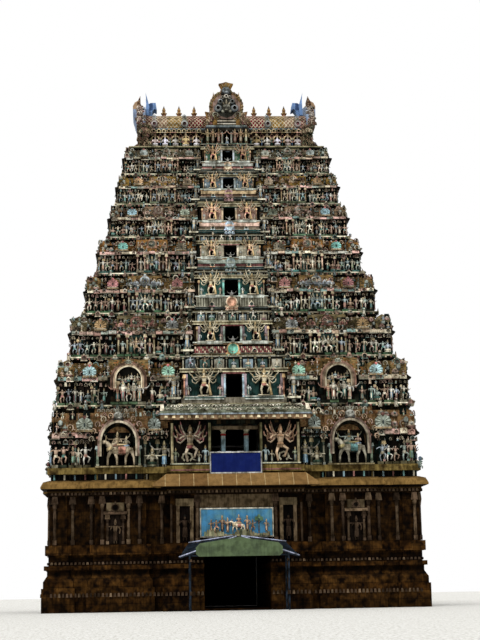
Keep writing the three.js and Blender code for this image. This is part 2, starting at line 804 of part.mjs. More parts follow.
// An end gable: a thick horseshoe wall that closes the vault, with upswept horns and curled plumes.
function endGable(side) {
  const inner = ROOF_HALF_LENGTH;
  const outer = ROOF_HALF_LENGTH + 380;
  const disc = archPoints(0, ridgeBase, VAULT_HALF_DEPTH + 160, VAULT_RISE + 420, 14, 1.15);
  const top = ridgeBase + VAULT_RISE;
  const horn = [
    [inner - 160, top + 40],
    [inner + 60, top + 40],
    [inner - 28, top + 430],
    [inner - 40, top + 800],
    [inner - 10, top + 1130],
    [inner - 100, top + 800],
    [inner - 190, top + 430],
  ];
  const back = [
    [inner + 180, top - 500],
    [inner + 420, top - 520],
    [inner + 570, top],
    [inner + 575, top + 480],
    [inner + 490, top + 650],
    [inner + 340, top + 740],
    [inner + 230, top + 970],
    [inner + 240, top + 620],
    [inner + 120, top + 400],
  ];
  const plume = [
    [inner - 20, top + 20],
    [inner - 20, top + 560],
    [inner - 240, top + 690],
    [inner - 473, top + 700],
    [inner - 525, top + 365],
    [inner - 400, top + 410],
    [inner - 323, top + 305],
    [inner - 290, top + 20],
  ];
  const solids = [prismX(disc, inner, outer), prismY(back, -520, 520), prismY(plume, -330, 330)];
  for (const y of [-1, 1]) solids.push(prismY(horn, y * 420 - 90, y * 420 + 90));
  const vault = prismX(
    archPoints(0, ridgeBase - 5, VAULT_HALF_DEPTH + GAP, VAULT_RISE + GAP + 5, 14),
    0,
    ROOF_HALF_LENGTH,
  );
  const right = join(solids).subtract(vault);
  return side > 0 ? right : toSolid(toGeometry(right).rotateZ(Math.PI));
}

// A gilded pot finial: foot, pot, rings and spike.
function finial(x) {
  const h = FINIAL_HEIGHT;
  const profile = [
    [0, -30],
    [210, -30],
    [190, 60],
    [85, 0.24 * h],
    [115, 0.4 * h],
    [70, 0.54 * h],
    [85, 0.66 * h],
    [35, 0.84 * h],
    [0, h],
  ];
  const vault = prismX(
    archPoints(0, ridgeBase, VAULT_HALF_DEPTH + GAP, VAULT_RISE + GAP, 14),
    -ROOF_HALF_LENGTH,
    ROOF_HALF_LENGTH,
  );
  return turned(profile, x, 0, ridgeBase + VAULT_RISE, 8).subtract(vault);
}

// The painted relief panel over the gateway, as a framed slab on the lintel.
function reliefPanel() {
  const face = BASE_HALF_DEPTH + GATE_BAY_PROJECTION;
  return block(-1490, 1490, -face - 90, -face, 2930, 4100);
}

// The notice board that stands on the gateway eave in front of the first storey's opening.
function noticeBoard() {
  const face = BASE_HALF_DEPTH + GATE_BAY_PROJECTION;
  return block(-1070, 1070, -face - 190, -face - 130, GATE_EAVE_TOP, 6380);
}

// The closed shape over the canopy's corners, lowered by a depth.
function canopyShape(depth) {
  const { back, front } = canopy;
  const corners = [
    [0, front, 2870],
    [0, back, 2950],
    [-2400, front, 2080],
    [2400, front, 2080],
    [-2000, back, 2675],
    [2000, back, 2675],
  ];
  return toSolid(new ConvexGeometry(corners.map(([x, y, z]) => new THREE.Vector3(x, y, z - depth))));
}

const canopy = { back: -BASE_HALF_DEPTH - GATE_BAY_PROJECTION - PLINTH_CAP, front: -7000 };

// A light pitched canopy on four posts in front of the gateway.
function entranceCanopy() {
  const { front } = canopy;
  const rear = -BASE_HALF_DEPTH - GATE_BAY_PROJECTION - PLINTH_FOOT - 30;
  const sheet = canopyShape(0).subtract(canopyShape(40));
  const frame = [-1, 1].flatMap((x) => [
    block(x * 1950 - 35, x * 1950 + 35, rear - 70, rear, 0, 2600),
    block(x * 1950 - 35, x * 1950 + 35, front + 20, front + 90, 0, 2200),
    block(x * 1950 - 25, x * 1950 + 25, front + 20, rear, 2130, 2190),
  ]);
  const beam = block(-1950, 1950, front + 30, front + 80, 2130, 2190);
  return join([sheet, ...frame, beam]);
}

// The long board with tapered ends that hangs on the canopy's front edge.
function canopyBoard() {
  const outline = [
    [-1600, 2123],
    [1600, 2123],
    [1720, 2230],
    [1720, 2480],
    [1560, 2640],
    [0, 2870],
    [-1560, 2640],
    [-1720, 2480],
    [-1720, 2230],
  ];
  return prismY(outline, canopy.front - 40, canopy.front);
}

const tower = new THREE.Group();

// Adds one solid to the tower as a named mesh with its paint.
function add(name, solid, paint) {
  const mesh = new THREE.Mesh(toGeometry(solid), new THREE.MeshStandardMaterial(paint));
  mesh.name = name;
  tower.add(mesh);
}

for (const [word, side] of [
  ["left", -1],
  ["right", 1],
]) {
  add("plinth_" + word, plinth(side), STONE);
  add("base_wall_" + word, baseWall(side), STONE);
}
add("gateway_threshold", gatewayThreshold(), STONE);
add("gateway_lintel", gatewayLintel(), STONE);
add("base_cornice", baseCornice(), STONE);
add("tala_1_floor", firstFloor(), FLOOR_PAINT);
for (let level = 0; level < STOREYS; level += 1) {
  const { name } = storeys[level];
  add(name + "_walls", talaWalls(level), PLASTER);
  add(name + "_parapet", talaParapet(level), PARAPET_PAINT);
  const next = level + 1 < STOREYS ? storeys[level + 1].name : "neck";
  add(next + "_floor", talaFloor(level + 1), FLOOR_PAINT);
}
for (const [word, side] of [
  ["front", -1],
  ["back", 1],
]) {
  add("gateway_eave_" + word, gatewayEave(side), STONE);
  add("tala_1_columns_" + word, columnScreen(side), PARAPET_PAINT);
  add("tala_1_eave_" + word, firstStoreyEave(side), FLOOR_PAINT);
  add("roof_gable_" + word, roofGable(side), ROOF_PAINT);
}
add("neck_walls", neckWalls(), PLASTER);
add("roof_cornice", roofCornice(), FLOOR_PAINT);
add("roof_vault", roofVault(), ROOF_PAINT);
add("end_gable_left", endGable(-1), BLUE_PAINT);
add("end_gable_right", endGable(1), BLUE_PAINT);
FINIAL_PLACES.forEach((x, i) => add("finial_" + (i + 1), finial(x), GOLD));
add("relief_panel", reliefPanel(), RELIEF_PAINT);
add("notice_board", noticeBoard(), BLUE_PAINT);
add("entrance_canopy", entranceCanopy(), STEEL_PAINT);
add("canopy_board", canopyBoard(), GREEN_PAINT);

export default tower;
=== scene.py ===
"""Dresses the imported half-scale temple gateway tower in its painted stucco.

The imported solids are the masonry: a granite base with its passage, eight hollow storeys and a vaulted
roof. This script gives each of them its finish and sets the stucco on them: rows of figures between
pilasters, shell and arch niches, guardians beside the windows, horned gables and pot finials. All of
it is in metres, in the frame of the solids: +Z up, the front face towards -Y.
"""

from __future__ import annotations

import logging
import math
import random
from collections.abc import Iterable, Sequence
from dataclasses import dataclass, field
from enum import Enum, IntEnum

import bmesh
import bpy
import numpy as np
from mathutils import Matrix, Vector
from mathutils.bvhtree import BVHTree


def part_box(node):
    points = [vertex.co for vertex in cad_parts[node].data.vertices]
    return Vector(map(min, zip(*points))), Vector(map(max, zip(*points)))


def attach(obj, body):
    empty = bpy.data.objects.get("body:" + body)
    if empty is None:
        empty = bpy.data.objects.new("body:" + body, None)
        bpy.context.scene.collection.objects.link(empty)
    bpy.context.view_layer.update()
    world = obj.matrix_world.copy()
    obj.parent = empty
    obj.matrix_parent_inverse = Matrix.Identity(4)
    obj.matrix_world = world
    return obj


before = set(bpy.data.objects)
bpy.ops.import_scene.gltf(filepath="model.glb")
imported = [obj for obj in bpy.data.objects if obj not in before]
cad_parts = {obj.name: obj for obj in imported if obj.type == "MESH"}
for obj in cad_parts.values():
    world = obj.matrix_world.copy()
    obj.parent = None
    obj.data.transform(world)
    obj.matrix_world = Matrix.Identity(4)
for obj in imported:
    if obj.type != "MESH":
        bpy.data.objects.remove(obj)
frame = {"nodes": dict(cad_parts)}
log = logging.getLogger("gateway_tower")

Colour = tuple[float, float, float, float]
Point = tuple[float, float, float]
Span = tuple[float, float]
Tree = bpy.types.NodeTree
Stops = tuple[tuple[float, str], ...]
Pattern = tuple[object, object | None]


def linear(code: str) -> Colour:
    """Turns an sRGB hex colour into linear light.

    Args:
        code: six hex digits.

    Returns:
        Red, green, blue and an alpha of one.
    """
    parts = [int(code[i : i + 2], 16) / 255 for i in (0, 2, 4)]
    red, green, blue = (c / 12.92 if c <= 0.04045 else ((c + 0.055) / 1.055) ** 2.4 for c in parts)
    return (red, green, blue, 1.0)


# Finishes.


def add_node(
    tree: Tree,
    kind: str,
    settings: dict[str, object] | None = None,
    sockets: dict[str | int, object] | None = None,
    stops: Stops = (),
) -> bpy.types.Node:
    """Adds one shader node with its settings and links.

    Args:
        tree: the material's node tree.
        kind: the node's type, without its prefix.
        settings: the node's own properties.
        sockets: for each input its value, the node to link, or that node and which of its outputs.
        stops: for a colour ramp, the place from 0 to 1 and the hex colour of each stop.

    Returns:
        The new node.
    """
    node = tree.nodes.new("ShaderNode" + kind)
    for key, value in (settings or {}).items():
        setattr(node, key, value)
    for key, value in (sockets or {}).items():
        source = value if isinstance(value, tuple) else (value, 0)
        if isinstance(source[0], bpy.types.Node):
            tree.links.new(source[0].outputs[source[1]], node.inputs[key])
        else:
            node.inputs[key].default_value = value
    for i, (place, code) in enumerate(stops):
        ramp = node.color_ramp
        if i >= len(ramp.elements):
            ramp.elements.new(1.0)
        ramp.elements[i].position = place
        ramp.elements[i].color = linear(code)
    return node


MULTIPLY = {"data_type": "RGBA", "blend_type": "MULTIPLY"}


@dataclass(frozen=True)
class Finish:
    """A matt outdoor surface: its own pattern, dulled by lamp soot and rain over a fine grain.

    Soot lies in clouds about 280 mm wide and rain runs are about 70 mm wide. The real grain is 1 to
    3 mm, too fine to show, so it is drawn 30 mm wide. Soot leaves almost no gloss, so the specular
    level is far below that of fresh paint.
    """

    name: str
    rough: float = 0.78
    metal: float = 0.0
    soot_and_painted_light: str = "6a6554"
    blotch: float = 0.28
    streak: float = 0.07
    grain: float = 0.03
    relief: float = 0.004
    depth: float = 0.008
    wear: float = 0.75
    shine: float = 0.03

    def material(self) -> bpy.types.Material:
        """Builds the material.

        Returns:
            The material, named for the finish.
        """
        material = bpy.data.materials.new(self.name)
        material.use_nodes = True
        tree = material.node_tree
        tree.nodes.clear()
        place = (add_node(tree, "TexCoord"), "Object")
        colour, height = self.pattern(tree, place)
        cloud = add_node(
            tree, "TexNoise", sockets={"Vector": place, "Scale": 1 / self.blotch, "Detail": 4.0}
        )
        soot_and_painted_light = add_node(tree, "ValToRGB", sockets={0: cloud}, stops=((0.38, self.soot_and_painted_light), (0.58, "ffffff")))
        down = add_node(tree, "Mapping", sockets={"Vector": place, "Scale": (1.0, 1.0, 0.12)})
        rain = add_node(tree, "TexNoise", sockets={"Vector": down, "Scale": 1 / self.streak})
        runs = add_node(tree, "ValToRGB", sockets={0: rain}, stops=((0.36, "8d8875"), (0.52, "ffffff")))
        dull = add_node(tree, "Mix", MULTIPLY, {0: self.wear, 6: colour, 7: soot_and_painted_light})
        dull = add_node(tree, "Mix", MULTIPLY, {0: 0.8 * self.wear, 6: (dull, 2), 7: runs})
        grain = add_node(tree, "TexNoise", sockets={"Vector": place, "Scale": 1 / self.grain, "Detail": 2.0})
        normal = add_node(tree, "Bump", sockets={"Height": grain, "Distance": self.relief, "Strength": 0.7})
        if height is not None:
            raised = {"Height": height, "Distance": self.depth, "Normal": normal}
            normal = add_node(tree, "Bump", sockets=raised)
        surface = {"Base Color": (dull, 2), "Normal": normal, "Roughness": self.rough}
        surface |= {"Metallic": self.metal, "Specular IOR Level": self.shine}
        shader = add_node(tree, "BsdfPrincipled", sockets=surface)
        add_node(tree, "OutputMaterial", sockets={"Surface": shader})
        return material

    def pattern(self, tree: Tree, place: tuple) -> Pattern:
        """Adds the finish's own pattern.

        Args:
            tree: the material's node tree.
            place: the output that gives the place on the object in metres.

        Returns:
            The pattern's colour and, if it has one, its height.
        """
        raise NotImplementedError

    def unroll(self, tree: Tree, place: tuple) -> tuple[bpy.types.Node, bpy.types.Node]:
        """Lays the walls of both directions out flat, so that courses run round the corners.

        Args:
            tree: the material's node tree.
            place: the output that gives the place on the object in metres.

        Returns:
            The place's three parts, and the place on the flat.
        """
        parts = add_node(tree, "SeparateXYZ", sockets={0: place})
        along = add_node(tree, "Math", {"operation": "ADD"}, {0: (parts, "X"), 1: (parts, "Y")})
        return parts, add_node(tree, "CombineXYZ", sockets={"X": along, "Y": (parts, "Z")})


@dataclass(frozen=True)
class PaintedStucco(Finish):
    """Matt oil paint brushed on lime stucco: each form's colours come from its paint attribute."""

    # What it gives the eye: many dulled paints side by side, darker under soot and in rain runs.
    # The paint attribute also carries each form's painted light: highlight facing up and front, shade facing
    # down and back.
    name: str = "oil_painted_lime_stucco"

    def pattern(self, tree: Tree, place: tuple) -> Pattern:
        """Reads the paint attribute and greys it a little, as dust does.

        Args:
            tree: the material's node tree.
            place: the output that gives the place on the object in metres; not used here.

        Returns:
            The pattern's colour and, if it has one, its height.
        """
        paint = add_node(tree, "Attribute", {"attribute_name": "paint"})
        dusty = {"Color": paint, "Saturation": 0.72, "Value": 1.1}
        return add_node(tree, "HueSaturation", sockets=dusty), None


@dataclass(frozen=True)
class PanelledPlaster(Finish):
    """Plaster in courses of small panels, each in one of a few dulled paints."""

    # What it gives the eye: the dark, broken colour behind the figures and on the small roofs. The
    # panels between the figures are about 200 by 420 mm; a roof's scales are about 60 mm and are
    # drawn 100 mm wide to show.
    name: str = "sooty_and_painted_shade_panelled_plaster"
    width: float = 0.2
    height: float = 0.42
    joint: float = 0.012
    # The default paints are near-black: painted shade, partly smoke-blackened, for the recessed walls behind the
    # figures.
    paints: tuple[str, ...] = ("0a0906", "1a1710", "2a2216", "141c18", "382c1c", "0c0b08", "22241c")

    def pattern(self, tree: Tree, place: tuple) -> Pattern:
        """Lays the panels along the walls of either direction.

        Args:
            tree: the material's node tree.
            place: the output that gives the place on the object in metres.

        Returns:
            The pattern's colour and, if it has one, its height.
        """
        laid = {"Vector": self.unroll(tree, place)[1], "Scale": 1.0, "Brick Width": self.width}
        laid |= {"Row Height": self.height, "Mortar Size": self.joint, "Mortar": linear("000000")}
        laid |= {"Color1": linear("000000"), "Color2": linear("ffffff")}
        panels = add_node(tree, "TexBrick", {"offset": 0.5}, laid)
        stops = tuple((i / len(self.paints), code) for i, code in enumerate(self.paints))
        ramp = add_node(tree, "ValToRGB", sockets={0: panels}, stops=stops)
        ramp.color_ramp.interpolation = "CONSTANT"
        return ramp, (panels, "Fac")


@dataclass(frozen=True)
class Granite(Finish):
    """Granite dressed with a point chisel and laid in courses, brown with dust and lamp oil."""

    # What it gives the eye: cloudy brown stone with dark joints, black recesses and worn, paler
    # edges. Courses are 340 mm high and stones 1.1 m long, with 8 mm joints.
    name: str = "chisel_dressed_granite"
    soot_and_painted_light: str = "4a4238"
    blotch: float = 0.4
    light: str = "5e401c"
    dark: str = "170c05"
    course: float = 0.34
    length: float = 1.1
    relief: float = 0.007
    top: float = 5.34
    # Painted shade: darker bands at the heights of the recesses between the mouldings, as shares of the top.
    shade: Stops = (
        (0.0, "8a8a8a"), (0.16, "ffffff"), (0.27, "e0e0e0"), (0.285, "3c3c3c"), (0.31, "505050"),
        (0.32, "f0f0f0"),
        (0.35, "ffffff"), (0.36, "303030"), (0.41, "484848"), (0.43, "f8f8f8"), (0.5, "f0f0f0"),
        (0.52, "808080"),
        (0.8, "a0a0a0"), (0.87, "303030"), (0.885, "ffffff"), (0.93, "d0d0d0"), (0.94, "303030"),
        (1.0, "505050"),
    )

    def pattern(self, tree: Tree, place: tuple) -> Pattern:
        """Lays the courses, clouds the stone and paints shade, by height, into the recesses between the
        mouldings.

        Args:
            tree: the material's node tree.
            place: the output that gives the place on the object in metres.

        Returns:
            The pattern's colour and, if it has one, its height.
        """
        parts, flat = self.unroll(tree, place)
        cloud = add_node(tree, "TexNoise", sockets={"Vector": place, "Scale": 4.0, "Detail": 8.0})
        stone = add_node(tree, "ValToRGB", sockets={0: cloud}, stops=((0.34, self.dark), (0.66, self.light)))
        laid = {"Vector": flat, "Scale": 1.0, "Brick Width": self.length, "Row Height": self.course}
        laid |= {"Mortar Size": 0.008, "Mortar": linear("3c3326")}
        laid |= {"Color1": linear("ffffff"), "Color2": linear("b8aa94")}
        courses = add_node(tree, "TexBrick", {"offset": 0.5}, laid)
        stone = add_node(tree, "Mix", MULTIPLY, {0: 0.9, 6: stone, 7: courses})
        rise = add_node(tree, "Math", {"operation": "DIVIDE"}, {0: (parts, "Z"), 1: self.top})
        # Painted shade in the recesses, read off by height.
        black = add_node(tree, "ValToRGB", sockets={0: rise}, stops=self.shade)
        return (add_node(tree, "Mix", MULTIPLY, {0: 0.85, 6: (stone, 2), 7: black}), 2), None


@dataclass(frozen=True)
class CoatOfPaint(Finish):
    """One coat of limewash or enamel, mottled by dust and wear."""

    # What it gives the eye: a single colour that turns to the dust's colour in worn patches, which
    # are about 300 mm wide.
    base: str = "ffffff"
    dust: str = "a59a7c"
    mottle: float = 0.3

    def pattern(self, tree: Tree, place: tuple) -> Pattern:
        """Mottles the coat with dust.

        Args:
            tree: the material's node tree.
            place: the output that gives the place on the object in metres.

        Returns:
            The pattern's colour and, if it has one, its height.
        """
        cloud = add_node(
            tree, "TexNoise", sockets={"Vector": place, "Scale": 1 / self.mottle, "Detail": 5.0}
        )
        return add_node(
            tree, "ValToRGB", sockets={0: cloud}, stops=((0.34, self.dust), (0.56, self.base))
        ), None


@dataclass(frozen=True)
class BandedPaint(Finish):
    """Limewash in level bands that run round a moulding."""

    # What it gives the eye: crisp cream, dark and coloured lines one above the other, 20 mm and more.
    foot: float = 0.0
    top: float = 1.0
    bands: Stops = ((0.0, "2a281a"), (0.5, "c4b78c"))

    def pattern(self, tree: Tree, place: tuple) -> Pattern:
        """Paints the bands by height.

        Args:
            tree: the material's node tree.
            place: the output that gives the place on the object in metres.

        Returns:
            The pattern's colour and, if it has one, its height.
        """
        parts = add_node(tree, "SeparateXYZ", sockets={0: place})
        limits = {"Value": (parts, "Z"), "From Min": self.foot, "From Max": self.top}
        rise = add_node(tree, "MapRange", sockets=limits)
        ramp = add_node(tree, "ValToRGB", sockets={0: rise}, stops=self.bands)
        ramp.color_ramp.interpolation = "CONSTANT"
        return ramp, None


@dataclass(frozen=True)
class BoardedLimewash(Finish):
    """Limewash over long slabs, with a pale joint at every slab's edge."""

    # What it gives the eye: an ochre slope ruled by thin upright lines. Slabs are 580 mm wide.
    base: str = "8a6c42"
    worn: str = "6f5230"
    joint: str = "b39a6e"
    slab: float = 0.58

    def pattern(self, tree: Tree, place: tuple) -> Pattern:
        """Rules the joints and clouds the wash.

        Args:
            tree: the material's node tree.
            place: the output that gives the place on the object in metres.

        Returns:
            The pattern's colour and, if it has one, its height.
        """
        parts = add_node(tree, "SeparateXYZ", sockets={0: place})
        flat = add_node(tree, "CombineXYZ", sockets={"X": (parts, "X"), "Y": 5.0})
        laid = {"Vector": flat, "Scale": 1.0, "Brick Width": self.slab, "Row Height": 20.0}
        laid |= {"Mortar Size": 0.022, "Mortar Smooth": 0.6, "Mortar": linear(self.joint)}
        laid |= {"Color1": linear(self.base), "Color2": linear(self.worn)}
        slabs = add_node(tree, "TexBrick", {"offset": 0.0}, laid)
        return slabs, (slabs, "Fac")


@dataclass(frozen=True)
class DiamondLattice(Finish):
    """The vault's stucco lattice: raised cream bars in diamonds over painted grounds."""

    # What it gives the eye: pale criss-cross lines over crimson, ochre and dark pink stretches. The
    # real diamonds are about 120 mm wide, and are drawn 165 mm wide to show.
    name: str = "lattice_painted_vault"
    depth: float = 0.02
    pitch: float = 0.165
    bar: float = 0.02
    spring: float = 21.336
    radius: float = 1.3
    reach: float = 4.0
    cream: str = "c9bda0"
    grounds: Stops = (
        (0.0, "6a5a44"), (0.2, "701c2c"), (0.43, "7c7060"), (0.495, "967438"), (0.66, "8a6a58"),
        (0.77, "6c5c54"),
        (0.82, "6c2a34"),
    )

    def pattern(self, tree: Tree, place: tuple) -> Pattern:
        """Draws the two families of bars over the grounds, by how far round the vault they are.

        Args:
            tree: the material's node tree.
            place: the output that gives the place on the object in metres.

        Returns:
            The pattern's colour and, if it has one, its height.
        """
        parts = add_node(tree, "SeparateXYZ", sockets={0: place})
        rise = add_node(tree, "Math", {"operation": "SUBTRACT"}, {0: (parts, "Z"), 1: self.spring})
        out = add_node(tree, "Math", {"operation": "ABSOLUTE"}, {0: (parts, "Y")})
        angle = add_node(tree, "Math", {"operation": "ARCTAN2"}, {0: rise, 1: out})
        around = add_node(tree, "Math", {"operation": "MULTIPLY"}, {0: angle, 1: self.radius})
        bars = {}
        for i, sign in enumerate(("ADD", "SUBTRACT")):
            across = add_node(tree, "Math", {"operation": sign}, {0: (parts, "X"), 1: around})
            saw = add_node(tree, "Math", {"operation": "PINGPONG"}, {0: across, 1: self.pitch / 2})
            bars[i] = add_node(tree, "Math", {"operation": "LESS_THAN"}, {0: saw, 1: self.bar})
        lines = add_node(tree, "Math", {"operation": "MAXIMUM"}, bars)
        side = add_node(tree, "Math", {"operation": "ABSOLUTE"}, {0: (parts, "X")})
        share = add_node(tree, "Math", {"operation": "DIVIDE"}, {0: side, 1: self.reach})
        ground = add_node(tree, "ValToRGB", sockets={0: share}, stops=self.grounds)
        ground.color_ramp.interpolation = "CONSTANT"
        mix = add_node(tree, "Mix", {"data_type": "RGBA"}, {0: lines, 6: ground, 7: linear(self.cream)})
        return (mix, 2), lines


@dataclass(frozen=True)
class HornPaint(Finish):
    """The end gables: pale blue horns, a blue plume and cream and pink scales between them."""

    # What it gives the eye: smooth blue horns with a broken, pale stretch and a warm head. The scales
    # are about 40 mm wide, and are drawn 70 mm wide to show.
    name: str = "blue_oil_painted_stucco"
    wear: float = 0.4
    scale: float = 0.07
    split: float = 22.66
    reach: float = 5.0
    low: Stops = ((0.0, "7494c0"), (0.72, "8c9cb4"), (0.75, "b0a090"), (0.805, "8c9cb8"))
    high: Stops = (
        (0.0, "7c9ccc"), (0.66, "48608c"), (0.69, "7c9ccc"), (0.72, "a0b0c4"), (0.768, "a88c70")
    )

    def pattern(self, tree: Tree, place: tuple) -> Pattern:
        """Paints by how far out and how high a place is, with scales between the horns.

        Args:
            tree: the material's node tree.
            place: the output that gives the place on the object in metres.

        Returns:
            The pattern's colour and, if it has one, its height.
        """
        parts = add_node(tree, "SeparateXYZ", sockets={0: place})
        side = add_node(tree, "Math", {"operation": "ABSOLUTE"}, {0: (parts, "X")})
        share = add_node(tree, "Math", {"operation": "DIVIDE"}, {0: side, 1: self.reach})
        bands = [
            add_node(tree, "ValToRGB", sockets={0: share}, stops=stops) for stops in (self.low, self.high)
        ]
        for ramp in bands:
            ramp.color_ramp.interpolation = "CONSTANT"
        above = add_node(tree, "Math", {"operation": "GREATER_THAN"}, {0: (parts, "Z"), 1: self.split})
        paint = add_node(tree, "Mix", {"data_type": "RGBA"}, {0: above, 6: bands[0], 7: bands[1]})
        cells = add_node(tree, "TexVoronoi", sockets={"Vector": place, "Scale": 1 / self.scale})
        edge = add_node(
            tree, "ValToRGB", sockets={0: (cells, "Distance")}, stops=((0.3, "ffffff"), (0.6, "6a5a54"))
        )
        scales = add_node(tree, "Mix", MULTIPLY, {0: 1.0, 6: (paint, 2), 7: edge})
        inner = add_node(tree, "Math", {"operation": "COMPARE"}, {0: side, 1: 3.88, 2: 0.14})
        mix = add_node(tree, "Mix", {"data_type": "RGBA"}, {0: inner, 6: (paint, 2), 7: (scales, 2)})
        return (mix, 2), (cells, "Distance")


# Carving.


class Role(IntEnum):
    """What a face of a carved form is painted as."""

    SKIN = 0
    CLOTH = 1
    GOLD = 2
    TRIM = 3
    BACK = 4
    # A hollow's inside, which most forms paint darker as its shade; pupils and hair take it too.
    DARK = 5


SKIN, CLOTH, GOLD, TRIM, BACK, DARK = Role
# The paints in the order of Role, for the roles that a form's own paints leave out. The hollow's near-black is
# painted shade.
USUAL = "c9bd94 3f7f78 a98a48 b9b08e 3c463a 100f0b".split()


def palette(codes: str) -> np.ndarray:
    """Turns hex colours in the order of Role into linear ones. One alone paints all but back and hollow.

    Args:
        codes: the colours, with spaces between them.

    Returns:
        One colour for each role.
    """
    parts = codes.split()
    if len(parts) == 1:
        parts = [*parts * 4, "2a2a1e"]
    return np.array([linear(code) for code in (*parts, *USUAL[len(parts) :])], dtype=np.float32)


@dataclass(frozen=True)
class Stamp:
    """A carved form that is set many times: its mesh, and the role and the painted light and shade at each face
    corner.
    """

    mesh: bpy.types.Mesh
    roles: np.ndarray
    soot_and_painted_light: np.ndarray


class Carver:
    """Shapes one carved form from bmesh primitives, each with its paint role. Forms face -Y."""

    def __init__(self) -> None:
        """Starts an empty form."""
        self.bm = bmesh.new()
        self.layer = self.bm.faces.layers.int.new("role")

    def _give(self, verts: Iterable[bmesh.types.BMVert], role: Role, smooth: bool) -> None:
        """Gives the faces on some vertices their role.

        Args:
            verts: the vertices.
            role: the paint role.
            smooth: True for rounded shading.
        """
        for face in {face for vert in verts for face in vert.link_faces}:
            face[self.layer] = int(role)
            face.smooth = smooth

    def block(self, role: Role, centre: Point, size: Point, top: float = 1.0) -> None:
        """Adds a block.

        Args:
            role: its paint role.
            centre: its middle.
            size: its lengths along X, Y and Z.
            top: how wide its top is, as a share of its foot.
        """
        place = Matrix.LocRotScale(Vector(centre), None, Vector(size))
        made = bmesh.ops.create_cube(self.bm, size=1.0, matrix=place)["verts"]
        upper = [vert for vert in made if vert.co.z > centre[2]]
        bmesh.ops.scale(self.bm, vec=(top, top, 1.0), space=Matrix.Translation(-Vector(centre)), verts=upper)
        self._give(made, role, False)

    def drum(
        self, role: Role, foot: Point, top: Point, radii: Span, sides: int = 5, flat: float = 1.0
    ) -> None:
        """Adds a round tapered bar between two points.

        Args:
            role: its paint role.
            foot: where it starts.
            top: where it ends.
            radii: its radius at each end.
            sides: how many sides it has.
            flat: its depth from front to back as a share of its width.
        """
        start, end = Vector(foot), Vector(top)
        turn = (end - start).to_track_quat("Z", "Y").to_matrix().to_4x4()
        place = Matrix.Translation((start + end) / 2) @ turn @ Matrix.Diagonal((1.0, flat, 1.0, 1.0))
        shape = {"segments": sides, "radius1": radii[0], "radius2": radii[1], "depth": (end - start).length}
        made = bmesh.ops.create_cone(self.bm, cap_ends=True, matrix=place, **shape)["verts"]
        self._give(made, role, True)

    def limb(self, role: Role, points: list[Point], radii: list[float], sides: int = 4) -> None:
        """Adds a bent limb through some points, closed at both ends.

        Args:
            role: its paint role.
            points: the joints it passes through.
            radii: its radius at each joint.
            sides: how many sides it has.
        """
        joints = [Vector(point) for point in points]
        lines = [(end - start).normalized() for start, end in zip(joints, joints[1:])]
        ways = [lines[0], *((a + b).normalized() for a, b in zip(lines, lines[1:])), lines[-1]]
        place = Matrix.Translation(joints[0]) @ ways[0].to_track_quat("Z", "Y").to_matrix().to_4x4()
        shape = {"segments": sides, "radius": radii[0]}
        made = list(bmesh.ops.create_circle(self.bm, cap_ends=True, matrix=place, **shape)["verts"])
        face = made[0].link_faces[0]
        for i in range(1, len(joints)):
            parts = bmesh.ops.extrude_face_region(self.bm, geom=[face, *face.edges, *face.verts])["geom"]
            face = next(part for part in parts if isinstance(part, bmesh.types.BMFace))
            bend = ways[i - 1].rotation_difference(ways[i]).to_matrix().to_4x4()
            grow = Matrix.Scale(radii[i] / radii[i - 1], 4)
            move = Matrix.Translation(joints[i]) @ bend @ grow @ Matrix.Translation(-joints[i - 1])
            bmesh.ops.transform(self.bm, matrix=move, verts=face.verts)
            made += face.verts
        self._give(made, role, True)

    def ball(
        self, role: Role, centre: Point, radius: float, scale: Point = (1, 1, 1),
        rings: tuple[int, int] = (5, 3)
    ) -> None:
        """Adds a ball.

        Args:
            role: its paint role.
            centre: its middle.
            radius: its radius.
            scale: how it is stretched along each axis.
            rings: how many sides and rows of faces it has.
        """
        place = Matrix.LocRotScale(Vector(centre), None, Vector(scale))
        shape = {"u_segments": rings[0], "v_segments": rings[1], "radius": radius}
        self._give(bmesh.ops.create_uvsphere(self.bm, matrix=place, **shape)["verts"], role, True)

    def turned(self, profile: list[tuple[Role, float, float]], sides: int) -> None:
        """Adds a body turned about the upright axis.

        Args:
            profile: the role, radius and height of each ring, from the foot up.
            sides: how many sides it has.
        """
        made: list[bmesh.types.BMVert] = []
        for (_, low, foot), (role, high, top) in zip(profile, profile[1:]):
            before = set(self.bm.verts)
            ends = [self.bm.verts.new(spot) for spot in ((low, 0, foot), (high, 0, top))]
            turn = {"cent": (0, 0, 0), "axis": (0, 0, 1), "angle": 2 * math.pi, "steps": sides}
            bmesh.ops.spin(self.bm, geom=[*ends, self.bm.edges.new(ends)], use_merge=True, **turn)
            ring = [vert for vert in self.bm.verts if vert not in before]
            self._give(ring, role, True)
            made += ring
        bmesh.ops.remove_doubles(self.bm, verts=made, dist=1e-4)

    def target(
        self, centre: Point, radius: float, rings: list[tuple[Role, float, float]], sides: int = 10
    ) -> None:
        """Adds an upright disc whose face steps in and out in rings.

        Args:
            centre: the middle of its back.
            radius: its outer radius.
            rings: from the outside in, each ring's role, its width and how far its inner edge stands out.
            sides: how many sides it has.
        """
        depth = rings[0][2]
        middle = Vector(centre) - Vector((0, depth / 2, 0))
        place = Matrix.Translation(middle) @ Matrix.Rotation(math.pi / 2, 4, "X")
        shape = {"segments": sides, "radius1": radius, "radius2": radius, "depth": depth}
        made = bmesh.ops.create_cone(self.bm, cap_ends=True, matrix=place, **shape)["verts"]
        self._give(made, rings[0][0], False)
        faces = {face for vert in made for face in vert.link_faces}
        front = min(faces, key=lambda face: face.calc_center_median().y)
        for role, width, out in rings[1:]:
            ring = bmesh.ops.inset_region(self.bm, faces=[front], thickness=width, depth=0.0)["faces"]
            shift = centre[1] - out - front.calc_center_median().y
            bmesh.ops.translate(self.bm, vec=(0, shift, 0), verts=front.verts)
            for face in (*ring, front):
                face[self.layer] = int(role)

